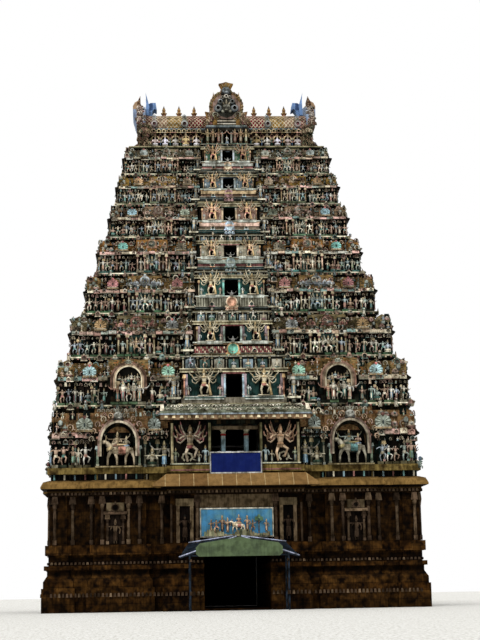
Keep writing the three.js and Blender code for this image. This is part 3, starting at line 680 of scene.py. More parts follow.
    def bow(self, role: Role, radius: float, thick: Span, steps: int = 10, turn: float = 180.0) -> None:
        """Adds an upright arch of rectangular section about the origin.

        Args:
            role: its paint role.
            radius: its outer radius.
            thick: its width across the arch and its depth outwards.
            steps: how many stones it has.
            turn: how far round it goes, in degrees.
        """
        before = set(self.bm.faces)
        wide, deep = thick
        foot = Matrix.Rotation(math.radians(turn / 2 - 90), 4, "Y")
        place = foot @ Matrix.Translation((radius - wide / 2, -deep / 2, 0))
        place = place @ Matrix.Diagonal((wide, deep, 1, 1))
        bmesh.ops.create_grid(self.bm, x_segments=1, y_segments=1, size=0.5, matrix=place)
        section = [face for face in self.bm.faces if face not in before]
        around = {"cent": (0, 0, 0), "axis": (0, -1, 0), "angle": math.radians(turn), "steps": steps}
        bmesh.ops.spin(self.bm, geom=section, **around)
        for face in set(self.bm.faces) - before:
            face[self.layer] = int(role)

    def shell(
        self, roles: tuple[Role, Role], radius: float, thick: float, depth: float, lobes: int = 11
    ) -> None:
        """Adds a scallop shell about the origin: a disc with a fan of ribs, a lobed edge and a keyhole.

        Args:
            roles: the paint roles of its ribs and of its keyhole.
            radius: its outer radius.
            thick: how thick the disc is.
            depth: how far its ribs stand off the disc.
            lobes: how many ribs it has.
        """
        place = Matrix.Translation((0, -thick / 2, 0)) @ Matrix.Rotation(math.pi / 2, 4, "X")
        shape = {"segments": 2 * lobes, "radius1": radius, "radius2": radius, "depth": thick}
        made = bmesh.ops.create_cone(self.bm, cap_ends=True, matrix=place, **shape)["verts"]
        front = min(
            {face for vert in made for face in vert.link_faces}, key=lambda f: f.calc_center_median().y
        )
        rim = list(front.verts)
        hub = bmesh.ops.poke(self.bm, faces=[front])["verts"][0]
        bmesh.ops.translate(self.bm, vec=(0, -0.5 * depth, 0), verts=[hub])
        bmesh.ops.translate(self.bm, vec=(0, -depth, 0), verts=rim[::2])
        bmesh.ops.scale(self.bm, vec=(0.88, 1.0, 0.88), verts=rim[1::2])
        self._give(made, roles[0], False)
        key = (0, -thick - 0.75 * depth, -0.05 * radius)
        self.ball(roles[1], key, 0.2 * radius, (0.6, 0.5, 1.7))

    def chamfer(self, wide: float) -> None:
        """Chamfers the front's two upright edges."""
        upright = [edge for edge in self.bm.edges if abs(edge.verts[0].co.z - edge.verts[1].co.z) > 0.5]
        front = [edge for edge in upright if edge.verts[0].co.y < 0]
        bmesh.ops.bevel(
            self.bm, geom=front, offset=wide, segments=1, profile=0.5, affect="EDGES", material=-1
        )

    def quarter(self, role: Role, steps: int) -> None:
        """Adds a quarter-round moulding, one metre long, deep and tall.

        Args:
            role: its paint role.
            steps: how many flats its bow has.
        """
        turns = [math.pi / 2 / steps * i for i in range(steps + 1)]
        outline = [(0.0, 0.0), *((-math.cos(turn), math.sin(turn)) for turn in turns)]
        face = self.bm.faces.new([self.bm.verts.new((-0.5, y, z)) for y, z in outline])
        parts = bmesh.ops.extrude_face_region(self.bm, geom=[face, *face.edges, *face.verts])["geom"]
        far = [part for part in parts if isinstance(part, bmesh.types.BMVert)]
        bmesh.ops.translate(self.bm, verts=far, vec=(1, 0, 0))
        self._give(self.bm.verts, role, False)

    def beast_face(self, centre: Point, size: float) -> None:
        """Adds a beast's face with bulging eyes and a fan of flames.

        Args:
            centre: its middle.
            size: its radius.
        """
        x, y, z = centre
        self.ball(SKIN, centre, size, (1.05, 0.7, 0.9), (8, 5))
        for side in (-1, 1):
            eye = (x + 0.42 * size * side, y - 0.6 * size, z + 0.25 * size)
            self.ball(TRIM, eye, 0.3 * size)
            self.ball(DARK, (eye[0], eye[1] - 0.22 * size, eye[2]), 0.15 * size, rings=(4, 2))
            self.ball(CLOTH, (x + 0.75 * size * side, y - 0.1 * size, z - 0.7 * size), 0.42 * size)
        self.ball(TRIM, (x, y - 0.6 * size, z - 0.45 * size), 0.3 * size, (1.5, 0.5, 0.5))
        for lean in (-1, 0, 1):
            foot = (x + 0.45 * size * lean, y, z + 0.75 * size)
            tip = (x + 0.95 * size * lean, y, z + (1.9 - 0.3 * abs(lean)) * size)
            self.drum(GOLD, foot, tip, (0.32 * size, 0.1 * size), 5, 0.7)

    def stamp(self) -> Stamp:
        """Closes the form, painting shade on faces turned down or back and highlight on those turned up or
        front.

        Returns:
            The stamp, with a paint attribute to fill in.
        """
        bmesh.ops.recalc_face_normals(self.bm, faces=self.bm.faces)
        mesh = bpy.data.meshes.new("stamp")
        self.bm.to_mesh(mesh)
        self.bm.free()
        count = len(mesh.polygons)
        roles = np.zeros(count, dtype=np.int32)
        mesh.attributes["role"].data.foreach_get("value", roles)
        mesh.attributes.remove(mesh.attributes["role"])
        totals = np.zeros(count, dtype=np.int32)
        mesh.polygons.foreach_get("loop_total", totals)
        normals = np.zeros(3 * count, dtype=np.float32)
        mesh.polygons.foreach_get("normal", normals)
        _, out, up = normals.reshape(-1, 3).T
        # Painted light: each face's paint is brighter as it turns to the front and up, darker as it turns down
        # and back.
        light = 0.5 + 0.62 * np.clip(-out, 0, 1) + 0.55 * np.clip(up, 0, 1)
        light -= 0.5 * np.clip(-up, 0, 1) + 0.35 * np.clip(out, 0, 1)
        light = np.clip(light, 0.05, 1.35).astype(np.float32)
        mesh.color_attributes.new("paint", "FLOAT_COLOR", "CORNER")
        return Stamp(mesh, np.repeat(roles, totals), np.repeat(light, totals))


class Stance(Enum):
    """How a stucco figure holds itself."""

    STANDING = "standing"
    DANCING = "dancing"
    STRIDING = "striding"
    SEATED = "seated"


class Headdress(Enum):
    """What a stucco figure wears on its head."""

    CROWN = "crown"
    KNOT = "knot"


# The elbow and hand of the left and the right arm: out from the middle, back, and up from the shoulder.
HANGING = (((0.19, -0.02, -0.14), (0.13, -0.14, -0.02)), ((0.2, 0.0, -0.14), (0.17, -0.06, -0.3)))
ARMS = {
    Stance.STANDING: HANGING,
    Stance.STRIDING: HANGING,
    Stance.DANCING: (((0.23, -0.03, -0.04), (0.28, -0.1, -0.1)), ((0.23, -0.03, -0.04), (0.28, -0.1, 0.1))),
    Stance.SEATED: (((0.19, -0.03, -0.15), (0.1, -0.16, -0.12)),) * 2,
}


@dataclass(frozen=True)
class FigureKit:
    """Carves the stucco figures, each one metre tall. The common ones have few faces."""

    head: float = 0.062
    chest: float = 0.115
    hip: float = 0.46
    seat: float = 0.17

    def figure(
        self, stance: Stance, raised: int = 0, wears: Headdress = Headdress.CROWN, fine: bool = False
    ) -> Stamp:
        """Carves one figure.

        Args:
            stance: how it holds itself.
            raised: how many raised arms it has on each side, besides its own.
            wears: its headdress.
            fine: True for more sides, jewels and what it holds.

        Returns:
            The figure.
        """
        carver = Carver()
        hip = self.seat if stance is Stance.SEATED else self.hip
        shoulder = hip + 0.24
        self._legs(carver, stance)
        self._trunk(carver, hip, wears, fine)
        for side, bend in zip((-1, 1), ARMS[stance]):
            joints = [(side * x, y, shoulder + z) for x, y, z in ((self.chest, 0, 0), *bend)]
            carver.limb(SKIN, joints, [0.04, 0.034, 0.026], 4 if fine else 3)
        self._raised_arms(carver, shoulder, raised, fine)
        if fine and stance is Stance.STRIDING:
            carver.drum(GOLD, (0.24, -0.1, 0.0), (0.18, -0.1, 0.46), (0.06, 0.022), 7)
            carver.block(TRIM, (0, 0, 0.015), (0.46, 0.2, 0.03))
        return carver.stamp()

    def _legs(self, carver: Carver, stance: Stance) -> None:
        """Carves a wrapped skirt over straight legs, one lifted knee, or crossed legs on a lotus seat.

        Args:
            carver: the form.
            stance: how the figure holds itself.
        """
        if stance is Stance.SEATED:
            carver.drum(TRIM, (0, 0, 0), (0, 0, 0.07), (0.17, 0.2), 5, 0.8)
            carver.ball(CLOTH, (0, -0.03, 0.12), 0.2, (1.1, 0.75, 0.4), (6, 3))
        elif stance is Stance.STANDING:
            for x in (-0.045, 0.045):
                carver.drum(SKIN, (x, 0, 0), (x, 0, 0.17), (0.04, 0.046), 3)
            carver.drum(CLOTH, (0, 0, 0.13), (0, 0, 0.47), (0.11, 0.085), 6, 0.75)
            carver.block(TRIM, (0, -0.08, 0.28), (0.05, 0.03, 0.32), 1.4)
        else:
            carver.drum(CLOTH, (0, 0, 0.35), (0, 0, 0.48), (0.12, 0.085), 6, 0.8)
            carver.limb(SKIN, [(-0.05, 0, 0.4), (-0.12, -0.05, 0.22), (-0.07, 0, 0)], [0.06, 0.046, 0.034])
            carver.limb(SKIN, [(0.05, 0, 0.4), (0.18, -0.09, 0.31), (0.1, -0.05, 0.1)], [0.06, 0.048, 0.034])

    def _trunk(self, carver: Carver, hip: float, wears: Headdress, fine: bool) -> None:
        """Carves the chest, head and headdress above the hips.

        Args:
            carver: the form.
            hip: the hips' height.
            wears: the headdress.
            fine: True for a belt, a collar, ear drops and a disc behind the head.
        """
        carver.drum(SKIN, (0, 0, hip), (0, 0, hip + 0.26), (0.07, self.chest), 6, 0.66)
        face = hip + 0.33
        carver.ball(SKIN, (0, -0.01, face), self.head, (0.95, 0.95, 1.2))
        if wears is Headdress.CROWN:
            carver.drum(GOLD, (0, 0, face + 0.03), (0, 0, face + 0.21), (0.074, 0.02), 4)
        else:
            carver.drum(DARK, (0, 0.02, face + 0.04), (0, 0.02, face + 0.13), (0.068, 0.03), 4)
        if not fine:
            return
        carver.drum(GOLD, (0, 0, hip - 0.02), (0, 0, hip + 0.03), (0.1, 0.09), 7, 0.8)
        carver.drum(GOLD, (0, -0.01, hip + 0.2), (0, -0.01, hip + 0.28), (0.1, 0.05), 7, 0.9)
        for x in (-0.08, 0.08):
            carver.ball(GOLD, (x, 0, face - 0.03), 0.024, rings=(4, 2))
        carver.target((0, 0.08, face + 0.02), 0.16, [(TRIM, 0, 0.03), (BACK, 0.03, 0.0)], 9)

    def _raised_arms(self, carver: Carver, shoulder: float, raised: int, fine: bool) -> None:
        """Carves a fan of raised arms on both sides.

        Args:
            carver: the form.
            shoulder: the shoulders' height.
            raised: how many arms each side has.
            fine: True for a longer fan, every other arm shorter, that holds weapons.
        """
        reach = (0.42 if raised < 7 else 0.34) if fine else 0.26
        for side in (-1, 1):
            for i in range(raised):
                turn = math.radians(-42 + 106 * (i / (raised - 1) if raised > 1 else 0.5))
                short = fine and i % 2
                length = 0.76 if short else 1.0
                out, up = length * math.cos(turn), length * math.sin(turn)
                root = (0.09 * side, 0.03, shoulder - 0.02)
                bend = (side * (0.1 + 0.66 * reach * out), 0.03, shoulder + (0.62 * up - 0.16) * reach)
                hand = (side * (0.1 + reach * out), -0.02, shoulder + (0.86 * up + 0.12) * reach)
                role = TRIM if short else SKIN
                carver.limb(role, [root, bend, hand], [0.034, 0.026, 0.02], 4 if fine else 3)
                if fine:
                    tip = (hand[0] + side * 0.02, -0.03, hand[2] + 0.1)
                    carver.drum(GOLD if i % 2 else TRIM, hand, tip, (0.022, 0.012), 4)

    def bull(self) -> Stamp:
        """Carves a walking humped bull, one metre long, that faces left as it is seen.

        Returns:
            The bull.
        """
        carver = Carver()
        carver.ball(SKIN, (0.05, 0, 0.46), 0.16, (2.3, 0.75, 0.95), (8, 6))
        for x, lean in ((-0.26, -0.08), (-0.14, 0.07), (0.27, -0.07), (0.38, 0.07)):
            joints = [(x, 0, 0.44), (x + lean, 0, 0.22), (x + 1.1 * lean, 0, 0.0)]
            carver.limb(SKIN, joints, [0.07, 0.04, 0.03], 5)
        head, hump = ((-0.45, -0.03, 0.7), 0.08, (1.5, 0.9, 0.9)), ((-0.14, 0, 0.63), 0.1, (1.1, 0.7, 0.9))
        for spot, radius, scale in (head, hump):
            carver.ball(SKIN, spot, radius, scale, (6, 4))
        for y in (-0.05, 0.05):
            carver.drum(GOLD, (-0.4, y, 0.76), (-0.38, y * 1.8, 0.9), (0.022, 0.006), 4)
        for role, foot, top, radii, sides in (
            (SKIN, (-0.22, 0, 0.48), (-0.38, -0.02, 0.7), (0.13, 0.08), 6),
            (SKIN, (0.4, 0, 0.52), (0.47, 0, 0.18), (0.025, 0.015), 4),
            (CLOTH, (-0.02, 0, 0.45), (0.2, 0, 0.45), (0.165, 0.165), 8),
            (GOLD, (-0.25, 0, 0.46), (-0.29, 0, 0.55), (0.15, 0.13), 6),
        ):
            carver.drum(role, foot, top, radii, sides, 0.85)
        carver.block(GOLD, (0.09, -0.02, 0.62), (0.3, 0.2, 0.04))
        return carver.stamp()

    def beast(self) -> Stamp:
        """Carves a lion-like beast that rears and crouches as a bracket, one metre tall.

        Returns:
            The beast.
        """
        carver = Carver()
        carver.drum(SKIN, (0.02, 0.05, 0.05), (-0.02, -0.06, 0.62), (0.17, 0.15), 6, 0.8)
        for x in (-0.12, 0.12):
            carver.limb(SKIN, [(x, -0.02, 0.25), (x, -0.2, 0.14), (x, -0.18, 0.0)], [0.08, 0.06, 0.05], 3)
            carver.drum(TRIM, (x, -0.05, 0.56), (x, -0.22, 0.5), (0.06, 0.05), 3)
        carver.ball(CLOTH, (0, -0.06, 0.76), 0.2, (1, 0.8, 1.0), (6, 3))
        carver.ball(SKIN, (0, -0.2, 0.74), 0.11)
        return carver.stamp()


CENTRE = (0, 0, 0)
# The ornaments, each to a unit size: the tools that carve it, in order, and what each tool is given.
RECIPES: dict[str, tuple[tuple, ...]] = {
    # A pilaster one metre tall with a square foot, a cushion and a spread capital.
    "pilaster": (
        (Carver.block, TRIM, (0, 0, 0.05), (0.15, 0.15, 0.1)),
        (Carver.drum, SKIN, (0, 0, 0.1), (0, 0, 0.74), (0.066, 0.058)),
        (Carver.drum, CLOTH, (0, 0, 0.72), (0, 0, 0.84), (0.06, 0.1)),
        (Carver.block, GOLD, (0, 0, 0.92), (0.28, 0.16, 0.16), 0.7),
    ),
    # A unit slab on its foot.
    "slab": ((Carver.block, TRIM, (0, 0, 0.5), (1, 1, 1)), (Carver.chamfer, 0.02)),
    # One leaf of a lotus row, and one metre of eave.
    "petal": ((Carver.block, TRIM, (0, -0.2, 0.5), (0.82, 0.5, 1.0), 0.7),),
    "roll": ((Carver.quarter, TRIM, 4),),
    # A horseshoe arch niche with flared feet and a beast's face, and a small one with few faces.
    "niche": (
        (Carver.target, CENTRE, 1.0, (
            (CLOTH, 0, 0.16), (CLOTH, 0.03, 0.2), (CLOTH, 0.16, 0.24), (TRIM, 0.02, 0.32),
            (TRIM, 0.09, 0.32),
            (BACK, 0.14, 0.18), (TRIM, 0.05, 0.2), (DARK, 0.03, 0.05),
        ), 12),
        *((Carver.ball, CLOTH, (x, -0.16, -0.72), 0.27, (1.2, 0.6, 0.8), (6, 4)) for x in (-0.88, 0.88)),
        (Carver.beast_face, (0, -0.24, 1.12), 0.26),
    ),
    "medal": (
        (Carver.target, CENTRE, 1.0, ((CLOTH, 0, 0.3), (TRIM, 0.3, 0.6), (DARK, 0.32, 0.2)), 8),
        (Carver.ball, SKIN, (0, -0.3, 1.05), 0.4, (1.1, 0.7, 1.2), (4, 2)),
        (Carver.block, CLOTH, (0, -0.2, -0.8), (2.3, 0.4, 0.4), 0.85),
    ),
    # A plain disc, and one in stepped rings.
    "hollow": ((Carver.target, CENTRE, 1.0, ((DARK, 0, 0.1),)),),
    "eye": (
        (Carver.target, CENTRE, 1.0, ((CLOTH, 0, 0.3), (CLOTH, 0.25, 0.4), (TRIM, 0.25, 0.5), (DARK, 0.1, 0.2))),
    ),
    # A shell niche with a crest and a moulded foot.
    "scallop": (
        (Carver.shell, (SKIN, DARK), 1.0, 0.16, 0.22),
        (Carver.ball, CLOTH, (0, -0.2, 1.04), 0.24, (1.2, 0.6, 1.2)),
        (Carver.block, GOLD, (0, -0.1, -0.82), (2.1, 0.5, 0.3), 0.9),
        (Carver.block, TRIM, (0, -0.14, -0.68), (1.8, 0.5, 0.12)),
    ),
    "mask": ((Carver.beast_face, CENTRE, 0.4),),
    # A small domed roof with few faces, and the domed roof of a corner shrine.
    "cupola": (
        (Carver.turned, (
            (BACK, 0.0, 0.0), (BACK, 0.46, 0.0), (TRIM, 0.62, 0.34), (SKIN, 0.5, 0.42), (SKIN, 0.36, 0.84),
            (GOLD, 0.12, 0.94), (GOLD, 0.0, 1.3),
        ), 6),
        (Carver.ball, CLOTH, (0, -0.5, 0.6), 0.24, (1, 1, 1), (4, 2)),
    ),
    "dome": (
        (Carver.turned, (
            (BACK, 0.0, 0.0), (BACK, 0.46, 0.0), (BACK, 0.46, 0.24), (TRIM, 0.6, 0.32), (SKIN, 0.48, 0.42),
            (SKIN, 0.52, 0.6), (SKIN, 0.3, 0.84), (GOLD, 0.12, 0.94), (GOLD, 0.0, 1.1),
        ), 8),
        *(
            (Carver.ball, CLOTH, (x, y, 0.58), 0.2, (1, 1, 1.15))
            for x, y in ((0, -0.54), (0.54, 0), (0, 0.54), (-0.54, 0))
        ),
    ),
    # A curled leaf: an open ring, its bud and its stalk.
    "scroll": (
        (Carver.bow, SKIN, 0.5, (0.16, 0.1), 6, 300.0),
        (Carver.ball, GOLD, (0, -0.06, 0), 0.16, (1, 0.6, 1), (4, 2)),
        (Carver.drum, SKIN, (0.42, -0.04, -0.2), (0.72, -0.04, -0.34), (0.09, 0.04), 3),
    ),
    # A half-round arch with a beaded edge and upright legs.
    "arch_rim": (
        (Carver.bow, CLOTH, 1.0, (0.12, 0.16), 16), (Carver.bow, TRIM, 0.9, (0.09, 0.21), 16),
        *((Carver.block, CLOTH, (x, -0.08, -0.3), (0.12, 0.16, 0.6)) for x in (-0.94, 0.94)),
        *((Carver.block, TRIM, (x, -0.105, -0.3), (0.09, 0.21, 0.6)) for x in (-0.855, 0.855)),
        *(
            (Carver.ball, GOLD, (1.03 * math.sin(turn), -0.08, 1.03 * math.cos(turn)), 0.07)
            for turn in (math.radians(side * (12 + 17 * i)) for side in (-1, 1) for i in range(5))
        ),
    ),
}


# Setting the forms.


@dataclass(frozen=True)
class Side:
    """One of the tower's four faces, in quarter turns from the front."""

    turn: int

    def at(self, spot: Point, size: Point = (1, 1, 1), spin: float = 0.0, tilt: float = 0.0) -> Matrix:
        """Gives the place of a form on this face.

        Args:
            spot: how far it is to the right of the face's middle, how far out from the axis, and its height.
            size: its scale along the face, outwards and up.
            spin: its own turn about the vertical.
            tilt: how far its top leans back towards the tower.

        Returns:
            The form's matrix.
        """
        along, out, up = spot
        quarter = Matrix.Rotation(self.turn * math.pi / 2, 4, "Z")
        turned = Matrix.Rotation(spin, 4, "Z") @ Matrix.Rotation(-tilt, 4, "X")
        return quarter @ Matrix.Translation((along, -out, up)) @ turned @ Matrix.Diagonal((*size, 1.0))


@dataclass
class Survey:
    """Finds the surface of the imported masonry."""

    nodes: dict[str, bpy.types.Object]
    far: float = 20.0

    def __post_init__(self) -> None:
        """Gathers the solids into one tree."""
        bm = bmesh.new()
        for node in self.nodes.values():
            bm.from_mesh(node.data)
        self.tree = BVHTree.FromBMesh(bm)
        bm.free()

    def out(self, side: Side, along: float, up: float) -> float:
        """Gives how far the surface is from the axis.

        Args:
            side: the face.
            along: the place along the face.
            up: the height.

        Returns:
            The distance, or zero where there is no solid.
        """
        start = side.at((along, self.far, up)).translation
        hit = self.tree.ray_cast(start, side.at((along, 0, up)).translation - start)[3]
        return self.far - hit if hit else 0.0


@dataclass
class Panel:
    """A piece that gathers the stamps set on it."""

    name: str
    slot: str
    bm: bmesh.types.BMesh = field(default_factory=bmesh.new)
    count: int = 0

    def set(self, stamp: Stamp, place: Matrix, paints: str, light: float = 1.0) -> None:
        """Sets one stamp on the piece.

        Args:
            stamp: the form.
            place: its matrix.
            paints: its paints, as hex codes.
            light: how bright the paints have stayed.
        """
        copy = stamp.mesh.copy()
        copy.transform(place)
        colours = palette(paints)[stamp.roles]
        # The stamp's painted light and shade multiply the paints here.
        colours[:, :3] *= light * stamp.soot_and_painted_light[:, None]
        copy.attributes["paint"].data.foreach_set("color", colours.ravel())
        self.bm.from_mesh(copy)
        bpy.data.meshes.remove(copy)
        self.count += 1

    def finish(self, material: bpy.types.Material) -> None:
        """Turns the gathered stamps into one piece that rides on the tower.

        Args:
            material: the piece's material.
        """
        mesh = bpy.data.meshes.new(self.name)
        self.bm.to_mesh(mesh)
        self.bm.free()
        piece = bpy.data.objects.new(self.name, mesh)
        bpy.context.scene.collection.objects.link(piece)
        mesh.materials.append(material)
        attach(piece, "root")
        log.info("%s: %d forms, %d faces", self.name, self.count, len(mesh.polygons))


@dataclass
class Studio:
    """The camera at the photograph's viewing angle, a pale floor and soft light."""

    place: Point = (-3.2355, -66.872, 0.8)
    heading: float = 3.267
    tilt: float = 10.204
    roll: float = 0.99
    lens: float = 84.375
    sky: float = 1.0
    sun: float = 1.3
    sun_width: float = 20.0
    sun_turn: Point = (40.0, 0.0, -24.0)

    def camera(self) -> None:
        """Adds the camera."""
        angles = (self.heading, self.tilt, self.roll)
        heading, tilt, roll = (math.radians(angle) for angle in angles)
        forward = Vector(
            (math.sin(heading) * math.cos(tilt), math.cos(heading) * math.cos(tilt), math.sin(tilt))
        )
        level_right = Vector((math.cos(heading), -math.sin(heading), 0))
        level_up = level_right.cross(forward)
        right = math.cos(roll) * level_right - math.sin(roll) * level_up
        up = math.sin(roll) * level_right + math.cos(roll) * level_up
        data = bpy.data.cameras.new("photo_camera")
        data.sensor_width = 36.0
        data.lens = self.lens
        data.clip_end = 500.0
        camera = bpy.data.objects.new("photo_camera", data)
        matrix = Matrix((right, up, -forward)).transposed().to_4x4()
        matrix.translation = Vector(self.place)
        camera.matrix_world = matrix
        bpy.context.scene.collection.objects.link(camera)
        bpy.context.scene.camera = camera

    def light(self) -> None:
        """Adds an overcast sky and a broad sun, shown in plain display colours."""
        scene = bpy.context.scene
        scene.view_settings.view_transform = "Standard"
        world = bpy.data.worlds.new("overcast")
        world.use_nodes = True
        background = world.node_tree.nodes["Background"]
        background.inputs["Color"].default_value = linear("ffffff")
        background.inputs["Strength"].default_value = self.sky
        scene.world = world
        data = bpy.data.lights.new("broad_sun", "SUN")
        data.energy = self.sun
        data.angle = math.radians(self.sun_width)
        sun = bpy.data.objects.new("broad_sun", data)
        sun.rotation_euler = [math.radians(angle) for angle in self.sun_turn]
        scene.collection.objects.link(sun)

    def props(self) -> None:
        """Adds the pale floor, and a near-black backdrop in the passage that is painted shade for its unlit
        inside.
        """
        stand = Matrix.Translation((0, 3.6, 1.49)) @ Matrix.Rotation(math.pi / 2, 4, "X")
        # The backdrop is painted shade: near-black where the passage lies in shade.
        cloth = CoatOfPaint("dark_cloth", 0.95, soot_and_painted_light="8a8a8a", base="060606", dust="0a0908")
        paint = CoatOfPaint("studio_floor_paint", 0.9, soot_and_painted_light="f4f4f2", base="e4e3df", dust="dddcd7")
        for name, place, finish in (
            ("studio_floor", Matrix.Diagonal((160, 160, 1, 1)), paint),
            ("passage_backdrop", stand @ Matrix.Diagonal((1.34, 1.4, 1, 1)), cloth),
        ):
            bm = bmesh.new()
            bmesh.ops.create_grid(bm, x_segments=1, y_segments=1, size=1.0, matrix=place)
            mesh = bpy.data.meshes.new(name)
            bm.to_mesh(mesh)
            bm.free()
            mesh.materials.append(finish.material())
            prop = bpy.data.objects.new(name, mesh)
            bpy.context.scene.collection.objects.link(prop)


# The common standing figures, with few faces.
STANDING = ["deity", "attendant", "prince", "dancer", "warrior", "drummer"]


@dataclass
class Workshop:
    """The stamps and the stucco that every part of the tower uses."""

    nodes: dict[str, bpy.types.Object]

    def __post_init__(self) -> None:
        """Carves the stamps and mixes the stucco."""
        self.survey = Survey(self.nodes)
        kit, knot = FigureKit(), Headdress.KNOT
        self.forms = {
            "deity": kit.figure(Stance.STANDING, 1),
            "attendant": kit.figure(Stance.STANDING, 0, knot),
            "prince": kit.figure(Stance.STANDING),
            "dancer": kit.figure(Stance.DANCING, 0, knot),
            "warrior": kit.figure(Stance.STRIDING, 1),
            "drummer": kit.figure(Stance.DANCING),
            "seated": kit.figure(Stance.SEATED),
            "enthroned": kit.figure(Stance.SEATED, 1, fine=True),
            "guardian": kit.figure(Stance.STRIDING, 5, fine=True),
            "lord": kit.figure(Stance.DANCING, 7, fine=True),
            "tall_attendant": kit.figure(Stance.STANDING, 1, fine=True),
            "bull": kit.bull(),
            "beast": kit.beast(),
        }
        for name, recipe in RECIPES.items():
            carver = Carver()
            for tool, *settings in recipe:
                tool(carver, *settings)
            self.forms[name] = carver.stamp()
        self.stucco = PaintedStucco().material()


# The tower's plan and paints.


@dataclass(frozen=True)
class Level:
    """One storey's levels and plan in metres, as its solids have them."""

    number: int
    floor: float
    height: float
    half_width: float
    half_depth: float
    bay_half: float
    projection: float
    shala: Span
    sill: float
    head: float
    window_half: float
    recess: float = 0.13
    shala_out: float = 0.12
    corner: float = 0.09

    def at(self, share: float) -> float:
        """Gives the height at a share of the storey."""
        return self.floor + share * self.height


@dataclass(frozen=True)
class TowerPlan:
    """The rules that the storeys' sizes follow."""

    first_floor: float = 5.85
    second_floor: float = 8.444
    second_height: float = 2.104
    ratio: float = 0.93
    half_widths: tuple[float, ...] = (7.54, 7.3, 6.77, 6.145, 5.63, 5.145, 4.81, 4.51)
    half_depth: float = 4.64
    depth_slope: float = 0.225
    bay_half: float = 1.746
    bay_slope: float = 0.0588
    window_half: float = 0.327
    window_slope: float = 0.011
    windows: tuple[Span, ...] = (
        (0.03, 0.635), (0.12, 0.585), (0.28, 0.63), (0.36, 0.75), (0.36, 0.68), (0.4, 0.78), (0.4, 0.74),
        (0.34, 0.73),
    )

    def floor(self, number: int) -> float:
        """Gives the height of the floor of a storey or of the neck."""
        return self.second_floor + sum(self.second_height * self.ratio**i for i in range(number - 2))

    def level(self, number: int) -> Level:
        """Works out one storey.

        Args:
            number: 1 for the first plastered storey, 8 for the last.

        Returns:
            The storey's levels and plan.
        """
        first = number == 1
        floor = self.first_floor if first else self.floor(number)
        height = self.second_floor - floor if first else self.second_height * self.ratio ** (number - 2)
        above = max(0.0, floor - self.second_floor)
        sill, head = self.windows[number - 1]
        return Level(
            number=number,
            floor=floor,
            height=height,
            half_width=self.half_widths[number - 1],
            half_depth=4.74 if first else self.half_depth - self.depth_slope * above,
            bay_half={1: 2.7, 2: 2.19}.get(number, self.bay_half - self.bay_slope * above),
            projection=0.4 if first else 0.33,
            shala=(0.5, 0.768) if first else (0.48, 0.72),
            sill=floor + sill * height,
            head=floor + head * height,
            window_half=0.96 if first else self.window_half - self.window_slope * above,
        )


# The number that stands for the neck, above the eight storeys.
NECK = 9

# The limners' paints, as they look now: mostly stone, olive and tan, with a few clear colours.
SKINS = "ddd2b4 c4b490 b58e70 96a89c d4cebc a08060 90a4a4 e4dcc0 b08c70 98a6b0".split()
CLOTHS = "4c9084 94504a 3f7c74 b58c58 ccc4a8 6a8a60 a0684c 6f8ca8 7c5058 c4b898".split()
GOLDS = "bca060 a08858 ccb884 8c7c5c".split()
TRIMS = "d4ccb0 78a094 b5ab8c 6a9086 dcd4b8 a0705f".split()
POSTS = "a0ac9c b8ae90 96705c 90a6a4 a08a60 648474 847c68".split()
# The backs behind the figures and of the small mouldings: near-black, as painted shade.
SHADE_BACKS = "060504 0c1714 120c07 0c2826 0b0a09 060504 1c150e".split()
# The small roofs, medallions and mouldings between the rows, and the hollows in them, painted darker as their
# shade.
MOULDS = "d4c8a4 b8a884 a88470 94a090 bc9c78 6c9088 a0705c 7c7458 b8b8a8 746450 c08c7c".split()
HOLLOWS = "3c3226 5c4c3c 2c3430 6a3c30".split()


@dataclass(frozen=True)
class Scheme:
    """One storey's own paints, as hex codes with spaces between them.

    The arch is its mask, rim, gilding, inner ring, back and hollow. Each shell has its own paint and
    its crest's. The medallion is the great one under the window, with its body's and its rim's.
    """

    strip: str
    arch: str
    near: str
    far: str
    medallion: str
    small: str
    roll: str
    recess: str
    roof: str
    posts: str
    back: str
    dome: str
    lintel: str = ""
    guardian: str = "dccca0 b05a3c d0ac5c d8c8a0 5a7a70 1c1410"


